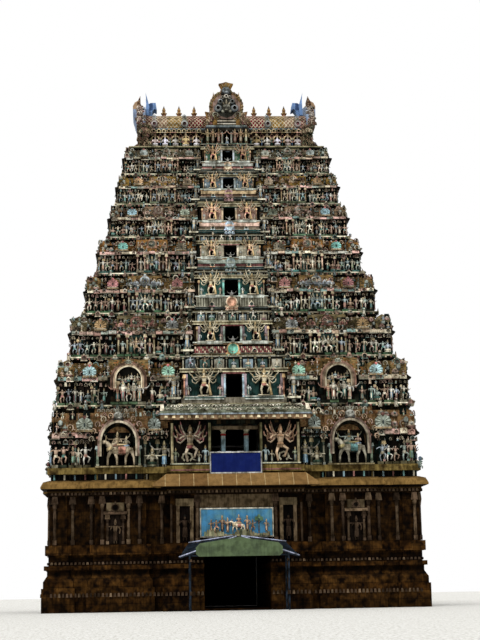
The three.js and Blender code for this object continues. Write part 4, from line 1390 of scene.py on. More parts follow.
SCHEMES = {
    1: Scheme(
        "5c5430", "8f8f84 8c6a58 9a8452 b5a484 6a6a54 4a3c2c", "8f9c94 5c7c74", "8a9484 7a4438",
        "6a9a94 7a5a48",
        "8a6a48", "8a7a54 5c5840", "1c2a28", "8a6c48 7a5f42", "86a0b0 a86a3c", "15100c", "b5a484 8c6a58",
    ),
    2: Scheme(
        "3f5c38", "6f8470 8c5c3c 9a8452 c4b48c 6a6a54 0f201a", "7fb89c b03a30", "9ac4c8 b03c30",
        "6a9a94 7a5a48",
        "8a6a48", "8a7a54 5c5840", "1c2a28", "8a7248 967a50 74623e a0643c", "9abccf c07038", "103a36",
        "c4b48c 8c5c3c", "8f3028",
    ),
    3: Scheme(
        "38603a", "9aa098 984c3e 9a8452 b07c60 6a6a54 6c2c22", "8f9494 b8503c", "a8823c a0603c",
        "4fc0a4 d09a40",
        "a09068", "8a7a54 5c5840", "3a5a50", "74684a 86744e 5f5c48 7a705c", "9ab4a8 d0bc84", "0f3a38",
        "b07c60 984c3e", "6a1814",
    ),
    4: Scheme(
        "3a6c40", "8f9a98 8c949c 9a8452 b0b8b8 6a6a54 5c6c80", "a05c54 8a4438", "b86868 a03a3c",
        "d08a58 dcc09a",
        "d88c98", "8a7a54 5c5840", "3c4440", "8f7248 806a46 746444 987a4c", "5fc4b4 d8c89c", "1f6058",
        "b0b8b8 8c949c", "2c4a4c",
    ),
    5: Scheme(
        "2c6c64", "78a49c a06c48 9a8452 bca47c 6a6a54 5c7c74", "8a8068 a04a3c", "5fb0a4 8a3c38",
        "c4dce0 9ac4bc",
        "d88c48", "94a090 a85450", "2f6f78", "9c703c a87038 88643c 967444", "dcccaa e0b088", "c0b898",
        "bca47c a06c48", "a86c60", "dcb07c a84038 e0b450 d4c4a0",
    ),
    6: Scheme(
        "466c4a", "90aebc 98705f 9a8452 b89c84 6a6a54 7c5448", "9aa890 a04438", "8fc0d0 b04438",
        "bcdcec 9cb4d0",
        "b8d4e0", "c09880 9a8468", "2f7474", "86705c 967a5c 746c50 9a8060", "e4c498 c89860", "b08068",
        "b89c84 98705f", "1c3c30", "d89c6c a84038 e0b450 d4c4a0",
    ),
    7: Scheme(
        "5c6848", "a08454 9c7444 9a8452 b89868 6a6a54 6c5030", "a08868 a85038", "b88c4c 9c4834",
        "d08c98 c8a090",
        "8fb4c8", "b8985c c08c60", "5c6c78", "967838 a88448 82683c 9c7c48", "b8ccd4 d8b070", "6c8490",
        "b89868 9c7444", "24405c", "d8a868 a84038 e0b450 d4c4a0",
    ),
    8: Scheme(
        "586850", "9ca49c 8a8c80 9a8452 b0ac98 6a6a54 4c4c40", "9ca090 8f5044", "a0aca8 a0483c",
        "dcc8a0 c89468",
        "c88c58", "b0b4a8 c8645c", "a89878", "7c745c 8c8468 706a54 968c70", "b8c4cc c89868", "3c7050",
        "b0ac98 8a8c80", "6a5c50", "cf9460 a84038 e0b450 d4c4a0",
    ),
}


class Kind(Enum):
    """What can stand in a row of mixed forms."""

    FIGURE = "figure"
    SEATED = "seated"
    CUPOLA = "cupola"
    MEDAL = "medal"
    CURL = "curl"
    LEAF = "leaf"


PEOPLE = (Kind.FIGURE,) * 8 + (Kind.SEATED,)
SHRINES = (Kind.CUPOLA, Kind.CUPOLA, Kind.MEDAL, Kind.FIGURE, Kind.FIGURE, Kind.SEATED, Kind.CURL)
FRINGE = (Kind.MEDAL, Kind.CURL, Kind.LEAF, Kind.CURL, Kind.SEATED)


@dataclass
class Dresser:
    """Sets forms on one face of the tower: figures on one piece, ornaments on another.

    Every ornament and figure keeps its own share of its paints' brightness, picked at random.
    """

    shop: Workshop
    side: Side
    rng: random.Random
    figures: Panel
    ornament: Panel
    stand: float = 0.13
    worn: Span = (0.62, 1.25)
    kept: Span = (0.75, 1.3)

    def carve(
        self, form: str, spot: Point, size: Point | float, paints: str, spin: float = 0, tilt: float = 0
    ) -> None:
        """Sets one ornament.

        Args:
            form: which one.
            spot: its place along the face, out from the axis, and up.
            size: its scale, one number for all directions or three.
            paints: its paints, as hex codes.
            spin: its own turn about the vertical.
            tilt: how far its top leans back.
        """
        place = self.side.at(spot, size if isinstance(size, tuple) else (size, size, size), spin, tilt)
        self.ornament.set(self.shop.forms[form], place, paints, self.rng.uniform(*self.worn))

    def person(self, form: str, spot: Point, tall: float, paints: str = "", spin: float = 0) -> None:
        """Sets one figure.

        Args:
            form: which one.
            spot: where its feet are.
            tall: its height.
            paints: its paints, or none for any.
            spin: its own turn about the vertical.
        """
        place = self.side.at(spot, (tall, tall, tall), spin)
        paints = paints or self.mixed(SKINS, CLOTHS, GOLDS, TRIMS, "34382c")
        self.figures.set(self.shop.forms[form], place, paints, self.rng.uniform(*self.kept))

    def mixed(self, *tones: str | Sequence[str]) -> str:
        """Picks one of each list of colours, and joins them with the single ones."""
        return " ".join(tone if isinstance(tone, str) else self.rng.choice(tone) for tone in tones)

    def moulding(self) -> str:
        """Picks the paints of one small moulding."""
        # Its back and hollow paints are dark: painted shade.
        return self.mixed(MOULDS, MOULDS, GOLDS, MOULDS, SHADE_BACKS, HOLLOWS)

    def on(self, along: float, up: float) -> float:
        """Gives how far the masonry's surface is from the axis."""
        return self.shop.survey.out(self.side, along, up)

    def plate(self, span: Span, out: float, rise: Span, paint: str, deep: float = 0.06) -> None:
        """Sets a flat band or panel.

        Args:
            span: where it starts and ends along the face.
            out: how far its front is from the axis.
            rise: its foot and top.
            paint: its colour.
            deep: how thick it is.
        """
        low, high = min(span), max(span)
        self.carve(
            "slab", ((low + high) / 2, out - deep / 2, rise[0]), (high - low, deep, rise[1] - rise[0]), paint
        )

    def bands(self, half: float, out: float, foot: float, bands: Iterable[tuple]) -> None:
        """Sets level bands across a bay.

        Args:
            half: half the bay's width.
            out: how far its wall is from the axis.
            foot: the height that the bands are measured from.
            bands: for each how far it reaches past the bay, how far its front stands out, its foot, its
                top, its colour and its thickness.
        """
        for past, proud, low, high, paint, deep in bands:
            self.plate((-half - past, half + past), out + proud, (foot + low, foot + high), paint, deep)

    def steps(self, span: Span, pitch: float) -> list[Span]:
        """Divides a stretch into equal steps.

        Args:
            span: where it starts and ends.
            pitch: about how long a step is.

        Returns:
            Where each step starts, and its length.
        """
        low, high = min(span), max(span)
        count = max(1, round((high - low) / pitch))
        step = (high - low) / count
        return [(low + i * step, step) for i in range(count)]

    def row(
        self, form: str, span: Span, spot: Span, pitch: float, size: Point, paints: Sequence[str]
    ) -> None:
        """Sets a row of the same ornament.

        Args:
            form: which one.
            span: where the row starts and ends along the face.
            spot: how far out it is, and its height.
            pitch: about how far apart the forms are.
            size: each one's scale.
            paints: the paints that they take in turn.
        """
        for i, (start, step) in enumerate(self.steps(span, pitch)):
            self.carve(form, (start + 0.5 * step, *spot), size, paints[i % len(paints)])

    def crowd(
        self, span: Span, spot: tuple[float | None, float], tall: Span, pitch: float,
        kinds: tuple[Kind, ...] = PEOPLE
    ) -> None:
        """Sets a row of mixed forms over near-black backs, painted shade, with a few pilasters between the
        figures.

        Args:
            span: where the row starts and ends along the face.
            spot: how far out its wall is, or None to stand on the masonry, and the height of its floor.
            tall: the least and the greatest height of a form.
            pitch: about how far apart the forms are.
            kinds: what is picked from.
        """
        wall, foot = spot
        pick, uniform = self.rng.choice, self.rng.uniform
        for start, step in self.steps(span, pitch):
            u = start + uniform(0.3, 0.7) * step
            size = uniform(*tall)
            out = self.on(u, foot + 0.4 * size) if wall is None else wall
            kind = pick(kinds)
            # A near-black back behind the form: painted shade.
            if kinds is PEOPLE or (kinds is SHRINES and uniform(0, 1) < 0.3):
                self.plate(
                    (u - 0.45 * step, u + 0.45 * step), out + 0.02, (foot, foot + 0.95 * tall[1]),
                    pick(SHADE_BACKS),
                )
            if kind in (Kind.FIGURE, Kind.SEATED):
                form, share = (pick(STANDING), 1.0) if kind is Kind.FIGURE else ("seated", 1.2)
                self.person(form, (u, out + self.stand, foot), share * size, spin=uniform(-0.6, 0.6))
            elif kind is Kind.CUPOLA:
                wide = uniform(0.85, 1.1) * step
                self.carve("cupola", (u, out, foot), (wide, wide, 0.8 * size), self.moulding())
            elif kind is Kind.MEDAL:
                half = 0.5 * min(size, 1.2 * step)
                self.carve("medal", (u, out + 0.02, foot + half), (half, 0.7 * half, half), self.moulding())
            elif kind is Kind.CURL:
                place = (u, out + 0.04, foot + 0.5 * size)
                self.carve("scroll", place, 0.9 * size, self.moulding(), uniform(-0.8, 0.8))
            else:
                self.carve("petal", (u, out + 0.04, foot), (0.7 * step, 0.16, size), self.moulding())
            if kinds is PEOPLE and uniform(0, 1) < 0.4:
                paints = self.mixed(POSTS, CLOTHS, GOLDS, TRIMS)
                wide = uniform(0.5, 0.8) * tall[1]
                place = (start + uniform(-0.1, 0.1) * step, out + 0.05, foot)
                self.carve("pilaster", place, (wide, wide, uniform(0.8, 1.1) * tall[1]), paints)


# The storeys.


@dataclass(kw_only=True)
class Storey(Dresser):
    """One face of one storey."""

    level: Level

    @property
    def scheme(self) -> Scheme:
        """Gives the storey's paints."""
        return SCHEMES[self.level.number]

    @property
    def wall(self) -> float:
        """Gives how far the face's plane is from the axis."""
        return self.level.half_width if self.side.turn % 2 else self.level.half_depth


class UpperStorey(Storey):
    """The stucco on one face of a storey from the second up."""

    def build(self) -> None:
        """Dresses the face, long or short."""
        if self.side.turn % 2:
            self._short_face()
        else:
            self._long_face()

    def _long_face(self) -> None:
        """Dresses the front or the back."""
        level = self.level
        wide, deep = level.half_width, level.half_depth
        inner, outer = (share * wide for share in level.shala)
        end = outer + 0.055 * wide
        for hand in (-1, 1):
            near = hand * (level.bay_half + 0.05)
            self._bay((near, hand * inner), deep - level.recess)
            self._bay((hand * outer, hand * end), deep - level.recess)
            self._bay((hand * end, hand * wide), deep)
            if level.number == 2:
                self._great_arch(hand * (inner + outer) / 2, deep + level.shala_out)
            else:
                self._shala(hand * (inner + outer) / 2, 0.5 * (outer - inner), deep + level.shala_out)
            self._shell(hand * 0.375 * wide, deep - 0.02, self.scheme.near)
            self._shell(hand * 0.822 * wide, deep + 0.02, self.scheme.far)
            self._flank(hand)
            self._ledge((near, hand * (wide + 0.14)), deep + 0.15)
            self._corner(hand)
        WindowBay(**vars(self)).build()

    def _short_face(self) -> None:
        """Dresses a short side."""
        level = self.level
        deep, wide = level.half_width, level.half_depth
        for hand in (-1, 1):
            self._bay((hand * 0.36 * wide, hand * 0.78 * wide), deep - level.recess)
            self._bay((hand * 0.78 * wide, hand * wide), deep)
            self._shell(hand * 0.57 * wide, deep - 0.02, self.scheme.far)
        self._shala(0.0, 0.34 * wide, deep + level.shala_out)
        self._ledge((-wide - 0.14, wide + 0.14), deep + 0.135)

    def _bay(self, span: Span, out: float) -> None:
        """Sets a bay's strip, its crowd, its eave and the small crowds on the eave.

        Args:
            span: where the bay starts and ends.
            out: how far its wall is from the axis.
        """
        level, high = self.level, self.level.height
        self._strip(span, out + self.stand)
        self.crowd(span, (out, level.at(0.05)), (0.28 * high, 0.35 * high), 0.13 * high)
        self.crowd(
            span, (out + 0.5 * self.stand, level.at(0.375)), (0.06 * high, 0.09 * high), 0.095 * high, FRINGE
        )
        self._eave(span)
        for foot, least, most, pitch in ((0.575, 0.13, 0.17, 0.125), (0.77, 0.11, 0.15, 0.118)):
            self.crowd(span, (None, level.at(foot)), (least * high, most * high), pitch * high, SHRINES)

    def _strip(self, span: Span, out: float) -> None:
        """Sets the painted strip under a row of figures, broken into short lengths, some near-black as painted
        shade.

        Args:
            span: where it starts and ends.
            out: how far its front is from the axis.
        """
        # The near-black lengths, 14180f and 2c3424, are painted shade.
        tones = (self.scheme.strip,) * 5 + ("14180f", "8a8468", "2c3424")
        rise = (self.level.floor, self.level.at(0.05))
        for start, step in self.steps(span, 0.34):
            self.plate(
                (start, start + self.rng.uniform(0.8, 1.0) * step), out, rise, self.rng.choice(tones), 0.2
            )

    def _eave(self, span: Span) -> None:
        """Sets the rolls of the eave in short lengths, with small horseshoe gables on them.

        Args:
            span: where it starts and ends.
        """
        level, pick, uniform = self.level, self.rng.choice, self.rng.uniform
        wall, high = self.wall, level.height
        for start, step in self.steps(span, 0.3):
            long, drop = uniform(0.86, 1.04) * step, uniform(-0.01, 0.02) * high
            middle = start + 0.5 * step
            size = (long, uniform(0.5, 1.2) * self.stand + 0.09, 0.09 * high)
            self.carve("roll", (middle, wall + 0.02, level.at(0.475) + drop), size, pick(MOULDS))
            lip = (middle - 0.5 * long, middle + 0.5 * long)
            foot, tone = level.at(0.462) + drop, pick(("e0d8b8", "4c4c3a", "a8745c", "d4ccac", "1c1c14"))
            self.plate(lip, wall + self.stand + 0.06, (foot, foot + 0.016 * high), tone, 0.1)
            spot = (middle + uniform(-0.2, 0.2) * step, wall + self.stand + 0.03, level.at(0.52))
            self.carve("medal", spot, 0.042 * high, self.moulding())

    def _shala(self, middle: float, half: float, out: float) -> None:
        """Sets a wagon-roofed bay: pillars round a many-armed figure, under an arch on the roof.

        Args:
            middle: where the bay's middle is.
            half: half its length.
            out: how far its wall is from the axis.
        """
        level, scheme = self.level, self.scheme
        high, foot = level.height, level.at(0.05)
        self._strip((middle - half, middle + half), out + self.stand)
        self.plate(
            (middle - 0.36 * half, middle + 0.36 * half), out + 0.03, (foot, level.at(0.46)), "1c3a34"
        )
        pillar = scheme.posts.split()[1] + " 8a4a3c a8946a b5ac8c"
        for share in (-0.92, -0.46, 0.46, 0.92):
            size = (0.3 * high, 0.3 * high, 0.43 * high)
            self.carve("pilaster", (middle + share * half, out + 0.07, foot), size, pillar)
        self.person("lord", (middle, out + self.stand, foot), 0.37 * high)
        for share in (-0.7, -0.28, 0.28, 0.7):
            spot = (middle + share * half, out + self.stand, foot)
            self.person(self.rng.choice(STANDING), spot, 0.33 * high)
        self._eave((middle - half, middle + half))
        front, radius = self.wall + 0.1, 0.125 * high
        size = (radius, 0.55 * radius, radius)
        self.carve("niche", (middle, front, level.at(0.76)), size, scheme.arch)
        self.person("enthroned", (middle, front + 0.14, level.at(0.7)), 0.13 * high)
        for share in (-0.78, 0.78):
            dome = scheme.dome + " 8f7440 a8a088 4a4a3a"
            self.carve("dome", (middle + share * half, front - 0.14, level.at(0.6)), 0.18 * high, dome)
        edges = (middle - 0.95 * half, middle + 0.95 * half)
        self.crowd(edges, (front - 0.08, level.at(0.56)), (0.1 * high, 0.14 * high), 0.1 * high, SHRINES)
        self.crowd(edges, (None, level.at(0.72)), (0.08 * high, 0.12 * high), 0.1 * high, SHRINES)
        for share in (-0.5, 0.0, 0.5) if level.number == 4 else ():
            spot = (middle + share * half, front - 0.08, level.at(0.62))
            self.carve("dome", spot, 0.16 * high, "8f9aa8 a8b0b4 b0b4b0 a0a8ac 5a6468")

    def _great_arch(self, middle: float, out: float) -> None:
        """Sets an arch as tall as the storey, with a crowd of figures standing in it.

        Args:
            middle: where the arch's middle is.
            out: how far its wall is from the axis.
        """
        level, rng = self.level, self.rng
        high, foot, spring = level.height, level.at(0.06), level.at(0.5)
        radius, front = 0.3 * high, out + 0.14
        self._strip((middle - 1.2 * radius, middle + 1.2 * radius), front + 0.1)
        # The near-black back and hollow inside the arch are painted shade.
        self.plate((middle - 0.9 * radius, middle + 0.9 * radius), front, (foot, spring), "0a1410")
        for form, back, size, paints in (
            ("hollow", 0.02, (0.9 * radius, 0.2, 0.9 * radius), "0c1a15"),
            ("arch_rim", 0.06, (1.2 * radius, 0.8, 1.16 * radius), "7c5c48 86583c a08458 6f5640"),
            ("arch_rim", 0.02, (radius, 0.9, radius), "8c5c3c 9c7c58 b0a078 c4b48c"),
        ):
            self.carve(form, (middle, front - back, spring), size, paints)
        for hand in (-1, 1):
            spot = (middle + 0.7 * hand * radius, front + 0.08, foot)
            self.carve("pilaster", spot, (0.8, 0.7, 0.4 * high), "a0603c b0885c 9c8454 c0a878")
        for i, (form, tone, tall) in enumerate((
            ("tall_attendant", "c08058", 0.36), ("deity", "d4ccb4", 0.4), ("lord", "b8ae98", 0.36),
            ("attendant", "c4b89c", 0.42), ("tall_attendant", "c8c4b8", 0.38),
        )):
            paints = self.mixed(tone, CLOTHS, "a89058", TRIMS)
            self.person(form, (middle + (i - 2) * 0.36 * radius, front + 0.12, foot), tall * high, paints)
        for i in range(7):
            spot = (middle + (i - 3) * 0.2 * radius, front + 0.05, level.at(0.42 + 0.1 * rng.random()))
            self.person("seated", spot, 0.2 * high)
        top = (middle, front + 0.05, spring + 1.12 * radius)
        self.carve("mask", top, 0.16 * high, "8a9480 6a6a58 94845c b0a890")
        for hand in (-1, 1):
            for up in (0.56, 0.68, 0.78):
                spot = (middle + 1.36 * hand * radius, out + 0.08, level.at(up))
                self.person(rng.choice(STANDING), spot, 0.13 * high)

    def _shell(self, along: float, out: float, paints: str) -> None:
        """Sets a painted shell niche.

        Args:
            along: where its middle is.
            out: how far its back is from the axis.
            paints: the shell's and the crest's colours.
        """
        level = self.level
        radius = 0.135 * level.height
        proud = 0.02 if self.side.turn % 2 else 0.16
        spot = (along, out + proud, level.at(0.66 if level.number == 2 else 0.68))
        size = (radius, 0.8 * radius, 0.85 * radius)
        self.carve("scallop", spot, size, paints + " 8f7440 a8a088 3f4f46 2c3a3c")

    def _flank(self, hand: int) -> None:
        """Sets the tall attendant on a bracket beside the middle bay.

        Args:
            hand: -1 for the left side, 1 for the right.
        """
        level, high = self.level, self.level.height
        along, out = hand * (level.bay_half + 0.15 * high), level.half_depth + 0.1
        ledge = (level.at(0.1), level.at(0.14))
        self.plate((along - 0.14 * high, along + 0.14 * high), out + 0.13, ledge, "dcd4b0", 0.3)
        self.carve("beast", (along, out + 0.02, level.at(-0.16)), 0.27 * high, "5f6a5c 6f6a54 8f8868 7a7660")
        white = "ccc8b8 7098b0 b09860 c4b894 3a4a44"
        self.person("tall_attendant", (along, out + 0.04, level.at(0.14)), 0.5 * high, white)

    def _ledge(self, span: Span, out: float) -> None:
        """Sets the broken cream line along the storey's ledge, with medallions, beasts and roofs under it.

        Args:
            span: where it starts and ends.
            out: how far the ledge stands out.
        """
        level, rng = self.level, self.rng
        size = 0.11 * level.height
        for start, step in self.steps(span, 0.62):
            low = start + 0.04 * step
            tone = rng.choice(("e4dcb8", "dcd0a8", "cfc49c", "8a8468", "d8ccb0"))
            line = (level.floor - 0.05, level.floor + 0.002)
            self.plate((low, low + rng.uniform(0.55, 0.95) * step), out + 0.02, line, tone, 0.06)
            chance, paints = rng.uniform(0, 1), self.moulding()
            if chance < 0.35:
                scale = (0.6 * size, 0.4 * size, 0.6 * size)
                self.carve("medal", (start, out + 0.01, level.floor - 0.05), scale, paints)
            elif chance < 0.7:
                beast = self.mixed(SKINS, CLOTHS, "a88444", TRIMS)
                self.carve(
                    "beast", (start, out + 0.01, level.floor - 0.2), 1.9 * size, beast,
                    rng.uniform(-0.5, 0.5),
                )
            else:
                scale = (1.2 * size, 1.2 * size, 1.4 * size)
                self.carve("cupola", (start, out - 0.01, level.floor - 0.18), scale, paints)
        paints = ["3a5a44", "a89870", "1c1c14", "8a4a38"]
        pitch = 0.06 * level.height
        self.row("petal", span, (out - 0.02, level.floor - 0.12), pitch, (0.9 * pitch, 0.1, 0.06), paints)

    def _corner(self, hand: int) -> None:
        """Sets the domed corner shrine at one end of a long face.

        Args:
            hand: -1 for the left end, 1 for the right.
        """
        level = self.level
        size = level.corner * level.half_width
        spot = (hand * (level.half_width - 0.5 * size), level.half_depth - 0.5 * size, level.at(0.57))
        tone = self.rng.choice(("8a7458", "7a6a58", "6f7c74", "86705c"))
        self.carve("dome", spot, (size, size, 0.25 * level.height), tone + " 8f9a90 8f7440 a8a088 4c5648")


class WindowBay(Storey):
    """The middle bay of a long face: window, guardians, hood, frieze and the roll at its foot."""

    @property
    def out(self) -> float:
        """Gives how far the bay's front is from the axis."""
        return self.level.half_depth + self.level.projection

    def build(self) -> None:
        """Dresses the bay from its foot up."""
        if self.level.number == 2:
            ledge = [(0, 0.1, 0, self.level.sill - 0.01 - self.level.floor, "8a8068", 0.2)]
            self.bands(self.level.bay_half, self.out, self.level.floor, ledge)
        else:
            self._foot()
        for hand in (-1, 1):
            self._guardian(hand)
        self._hood()
        self._frieze()

    def _foot(self) -> None:
        """Sets the lined bands, the roll and the horseshoe niche under the window."""
        level, scheme = self.level, self.scheme
        half, high, out, number = level.bay_half, level.height, self.out, level.number
        line = max(level.sill - 0.25 * high, level.at(0.03))
        deep = (0.13 if number < 5 else 0.17) * high
        foot, top = line - deep, level.sill - 0.03 * high
        tall = top - line
        lines = ((0.0, "c9bf98"), (0.3, "3c4438"), (0.62, "6f7c74"), (0.95, "d4ccb0"))
        self.bands(half, out, foot, [(0.02, 0.06, 0, deep, scheme.recess, 0.1)])
        self.bands(
            half, out, foot, [(0.06, 0.14, s * deep, s * deep + 0.022, tone, 0.1) for s, tone in lines]
        )
        if number == 3:
            step = (tall - 0.07 * high - 0.02) / 3
            reds = ["7c241e", "8a2c24", "cdb08a"]
            for i in range(3):
                spot = (out + 0.12 - 0.015 * i, line + 0.02 + i * step)
                size = (0.9 * step, 0.12, 0.95 * step)
                self.row("petal", (-half, half), spot, 0.9 * step, size, reds[i:] + reds[:i])
        elif number == 4:
            pitch = 0.03 * high
            self.bands(half, out, line, [(0, 0.05, 0, tall, "5f5c48", 0.1)])
            reeds = ["9a9880", "6a6854"]
            self.row("petal", (-half, half), (out + 0.1, line), pitch, (1.1 * pitch, 0.1, tall), reeds)
        else:
            roll, strip = scheme.roll.split()
            self.bands(half, out, line, [(0, 0.08, 0.03, 0.09 * high, strip, 0.1)])
            size = (2 * half, 0.2, tall - 0.08 * high)
            self.carve("roll", (0, out, line + 0.08 * high), size, roll)
        self.bands(half, out, top, [
            (0.04, 0.12, -0.03 * high, 0, "a8824c", 0.14), (0.06, 0.15, 0.01, 0.03 * high, "c8d0c0", 0.18),
        ])
        body, rim = scheme.medallion.split()
        radius, middle = 0.14 * high, line + 0.5 * tall - 0.02 * high
        great = f"c4ccd0 {rim} {rim} {body} {body} {body}"
        self.carve("niche", (0, out + 0.16, middle), (radius, 0.5 * radius, 1.05 * radius), great)
        for along in (-0.7, 0.0, 0.7):
            size = (0.09 * high, 0.09 * high, 0.11 * high)
            self.carve(
                "cupola", (along * radius, out + 0.2, foot + 0.01), size, f"{body} {rim} b59a54 {rim} {body}"
            )
        small = f"c4b890 {scheme.small} b58a48 d0c8a8 {scheme.small} 2a3a36"
        for along in (-0.56 * half, 0.56 * half):
            size = (0.06 * high, 0.036 * high, 0.06 * high)
            self.carve("medal", (along, out + 0.15, line + 0.05 * high), size, small)
            self.person("seated", (along, out + 0.19, foot), 0.16 * high, "d4ccb0 b88a50")
        lord = (0, out + 0.24, middle + 0.95 * radius)
        self.person("enthroned", lord, 0.2 * high, "b8b8b4 c4c4bc 9a9a94")

    def _guardian(self, hand: int) -> None:
        """Sets a guardian and its attendants between the window and the bay's edge.

        Args:
            hand: -1 for the left side, 1 for the right.
        """
        level, scheme = self.level, self.scheme
        window, half, out, high = level.window_half, level.bay_half, self.out, level.height
        rise, tall = (level.sill, level.head), level.head - level.sill
        inner, outer = hand * (window + 0.1), hand * (half - 0.12)
        middle = (inner + outer) / 2
        light, warm = scheme.posts.split()
        self.plate((inner, outer), out + 0.012, rise, scheme.back, 0.03)
        # A near-black strip behind the guardian: painted shade.
        self.plate((middle - 0.2 * tall, middle + 0.2 * tall), out + 0.03, rise, "0b0d0b", 0.03)
        if level.number < 4:
            for ends in ((inner, inner + hand * 0.1), (outer - hand * 0.14, outer)):
                self.plate(ends, out + 0.04, rise, "a08890", 0.06)
        self.plate((hand * (window + 0.02), inner), out + 0.06, rise, light, 0.1)
        for share in (0.1, 0.86, 0.93):
            low = level.sill + share * tall
            self.plate((hand * (window + 0.01), inner), out + 0.08, (low, low + 0.03 * tall), "e0dccc", 0.1)
        post, size = warm + " a8603c c89c4c d0bc88", (0.55 * tall, 0.5 * tall, tall)
        self.carve("pilaster", (outer, out + 0.07, level.sill - 0.02), size, post)
        for drop, tone, deep in ((-0.05, "c4ccc0", 0.16), (-0.02, "2f6f68", 0.12), (0.0, "d4d8cc", 0.14)):
            low = level.sill + drop * high
            self.plate((inner, outer), out + deep, (low, low + 0.022 * high), tone, deep)
        foot, size = level.sill + 0.02 * high, 1.18 if level.number < 4 else 1.3
        self.person("guardian", (middle, out + 0.16, foot), size * tall, scheme.guardian, 0.12 * hand)
        for offset, tone in ((-0.4, "c4ccc8"), (0.4, "c89884")):
            spot = (middle + offset * abs(outer - inner), out + 0.1, foot)
            self.person("attendant", spot, 0.55 * tall, self.mixed(tone, CLOTHS))

    def _hood(self) -> None:
        """Sets the lintel's line and the moulded hood over the window."""
        level, high = self.level, self.level.height
        half, low = level.bay_half, level.head + 0.035 * high
        self.bands(
            level.window_half, self.out, level.head, [(0.14, 0.08, 0, 0.03 * high, self.scheme.lintel, 0.1)]
        )
        self.bands(half, self.out, low, [
            (0.07, 0.09, 0, 0.018 * high, "d8cc98", 0.12),
            (0.05, 0.1, 0.02 * high, 0.06 * high, "7c7048", 0.12),
            (0.08, 0.13, 0.06 * high, 0.075 * high, "d4c89c", 0.14),
        ])
        leaves = (("b0a680", 0.25), ("9a7444", 0.5), ("8a4a3c", 0.75)) if level.number == 2 else ()
        for tone, share in leaves:
            for hand in (-1, 1):
                spot = (hand * share * half, self.out + 0.14, low + 0.02 * high)
                self.carve("petal", spot, (0.1, 0.2, 0.07), tone)

    def _frieze(self) -> None:
        """Sets the small figures and niches between the hood and the next storey."""
        level, out, high = self.level, self.out, self.level.height
        foot, top, half = level.head + 0.115 * high, level.at(0.925), level.bay_half - 0.08
        tall = top - foot
        if tall < 0.06:
            return
        # A dark back behind the frieze's figures: painted shade.
        self.plate((-half, half), out - 0.02, (foot, top), "24261e", 0.05)
        pillar = "b0a888 4c6a60 9a8a5c b5ac8c"
        for i, (start, step) in enumerate(self.steps((-half, half), 2 * half / 7)):
            along, tone = start + 0.5 * step, ("7f98a4", "3a5a54", "a09a84", "4a7068")[i % 4]
            self.plate(
                (along - 0.34 * step, along + 0.34 * step), out + 0.01, (foot, foot + 0.8 * tall), tone
            )
            form, size = self.rng.choice(("seated", "dancer")), min(1.45 * tall, 0.26 * high)
            self.person(form, (along, out + 0.1, foot), size)
            self.carve("pilaster", (start, out + 0.03, foot), (0.7 * tall, 0.6 * tall, tall), pillar)
        self.carve("pilaster", (half, out + 0.03, foot), (0.7 * tall, 0.6 * tall, tall), pillar)
        self.bands(level.bay_half, out, top, [(0.06, 0.08, 0, 0.025 * high, "8f8c78", 0.14)])


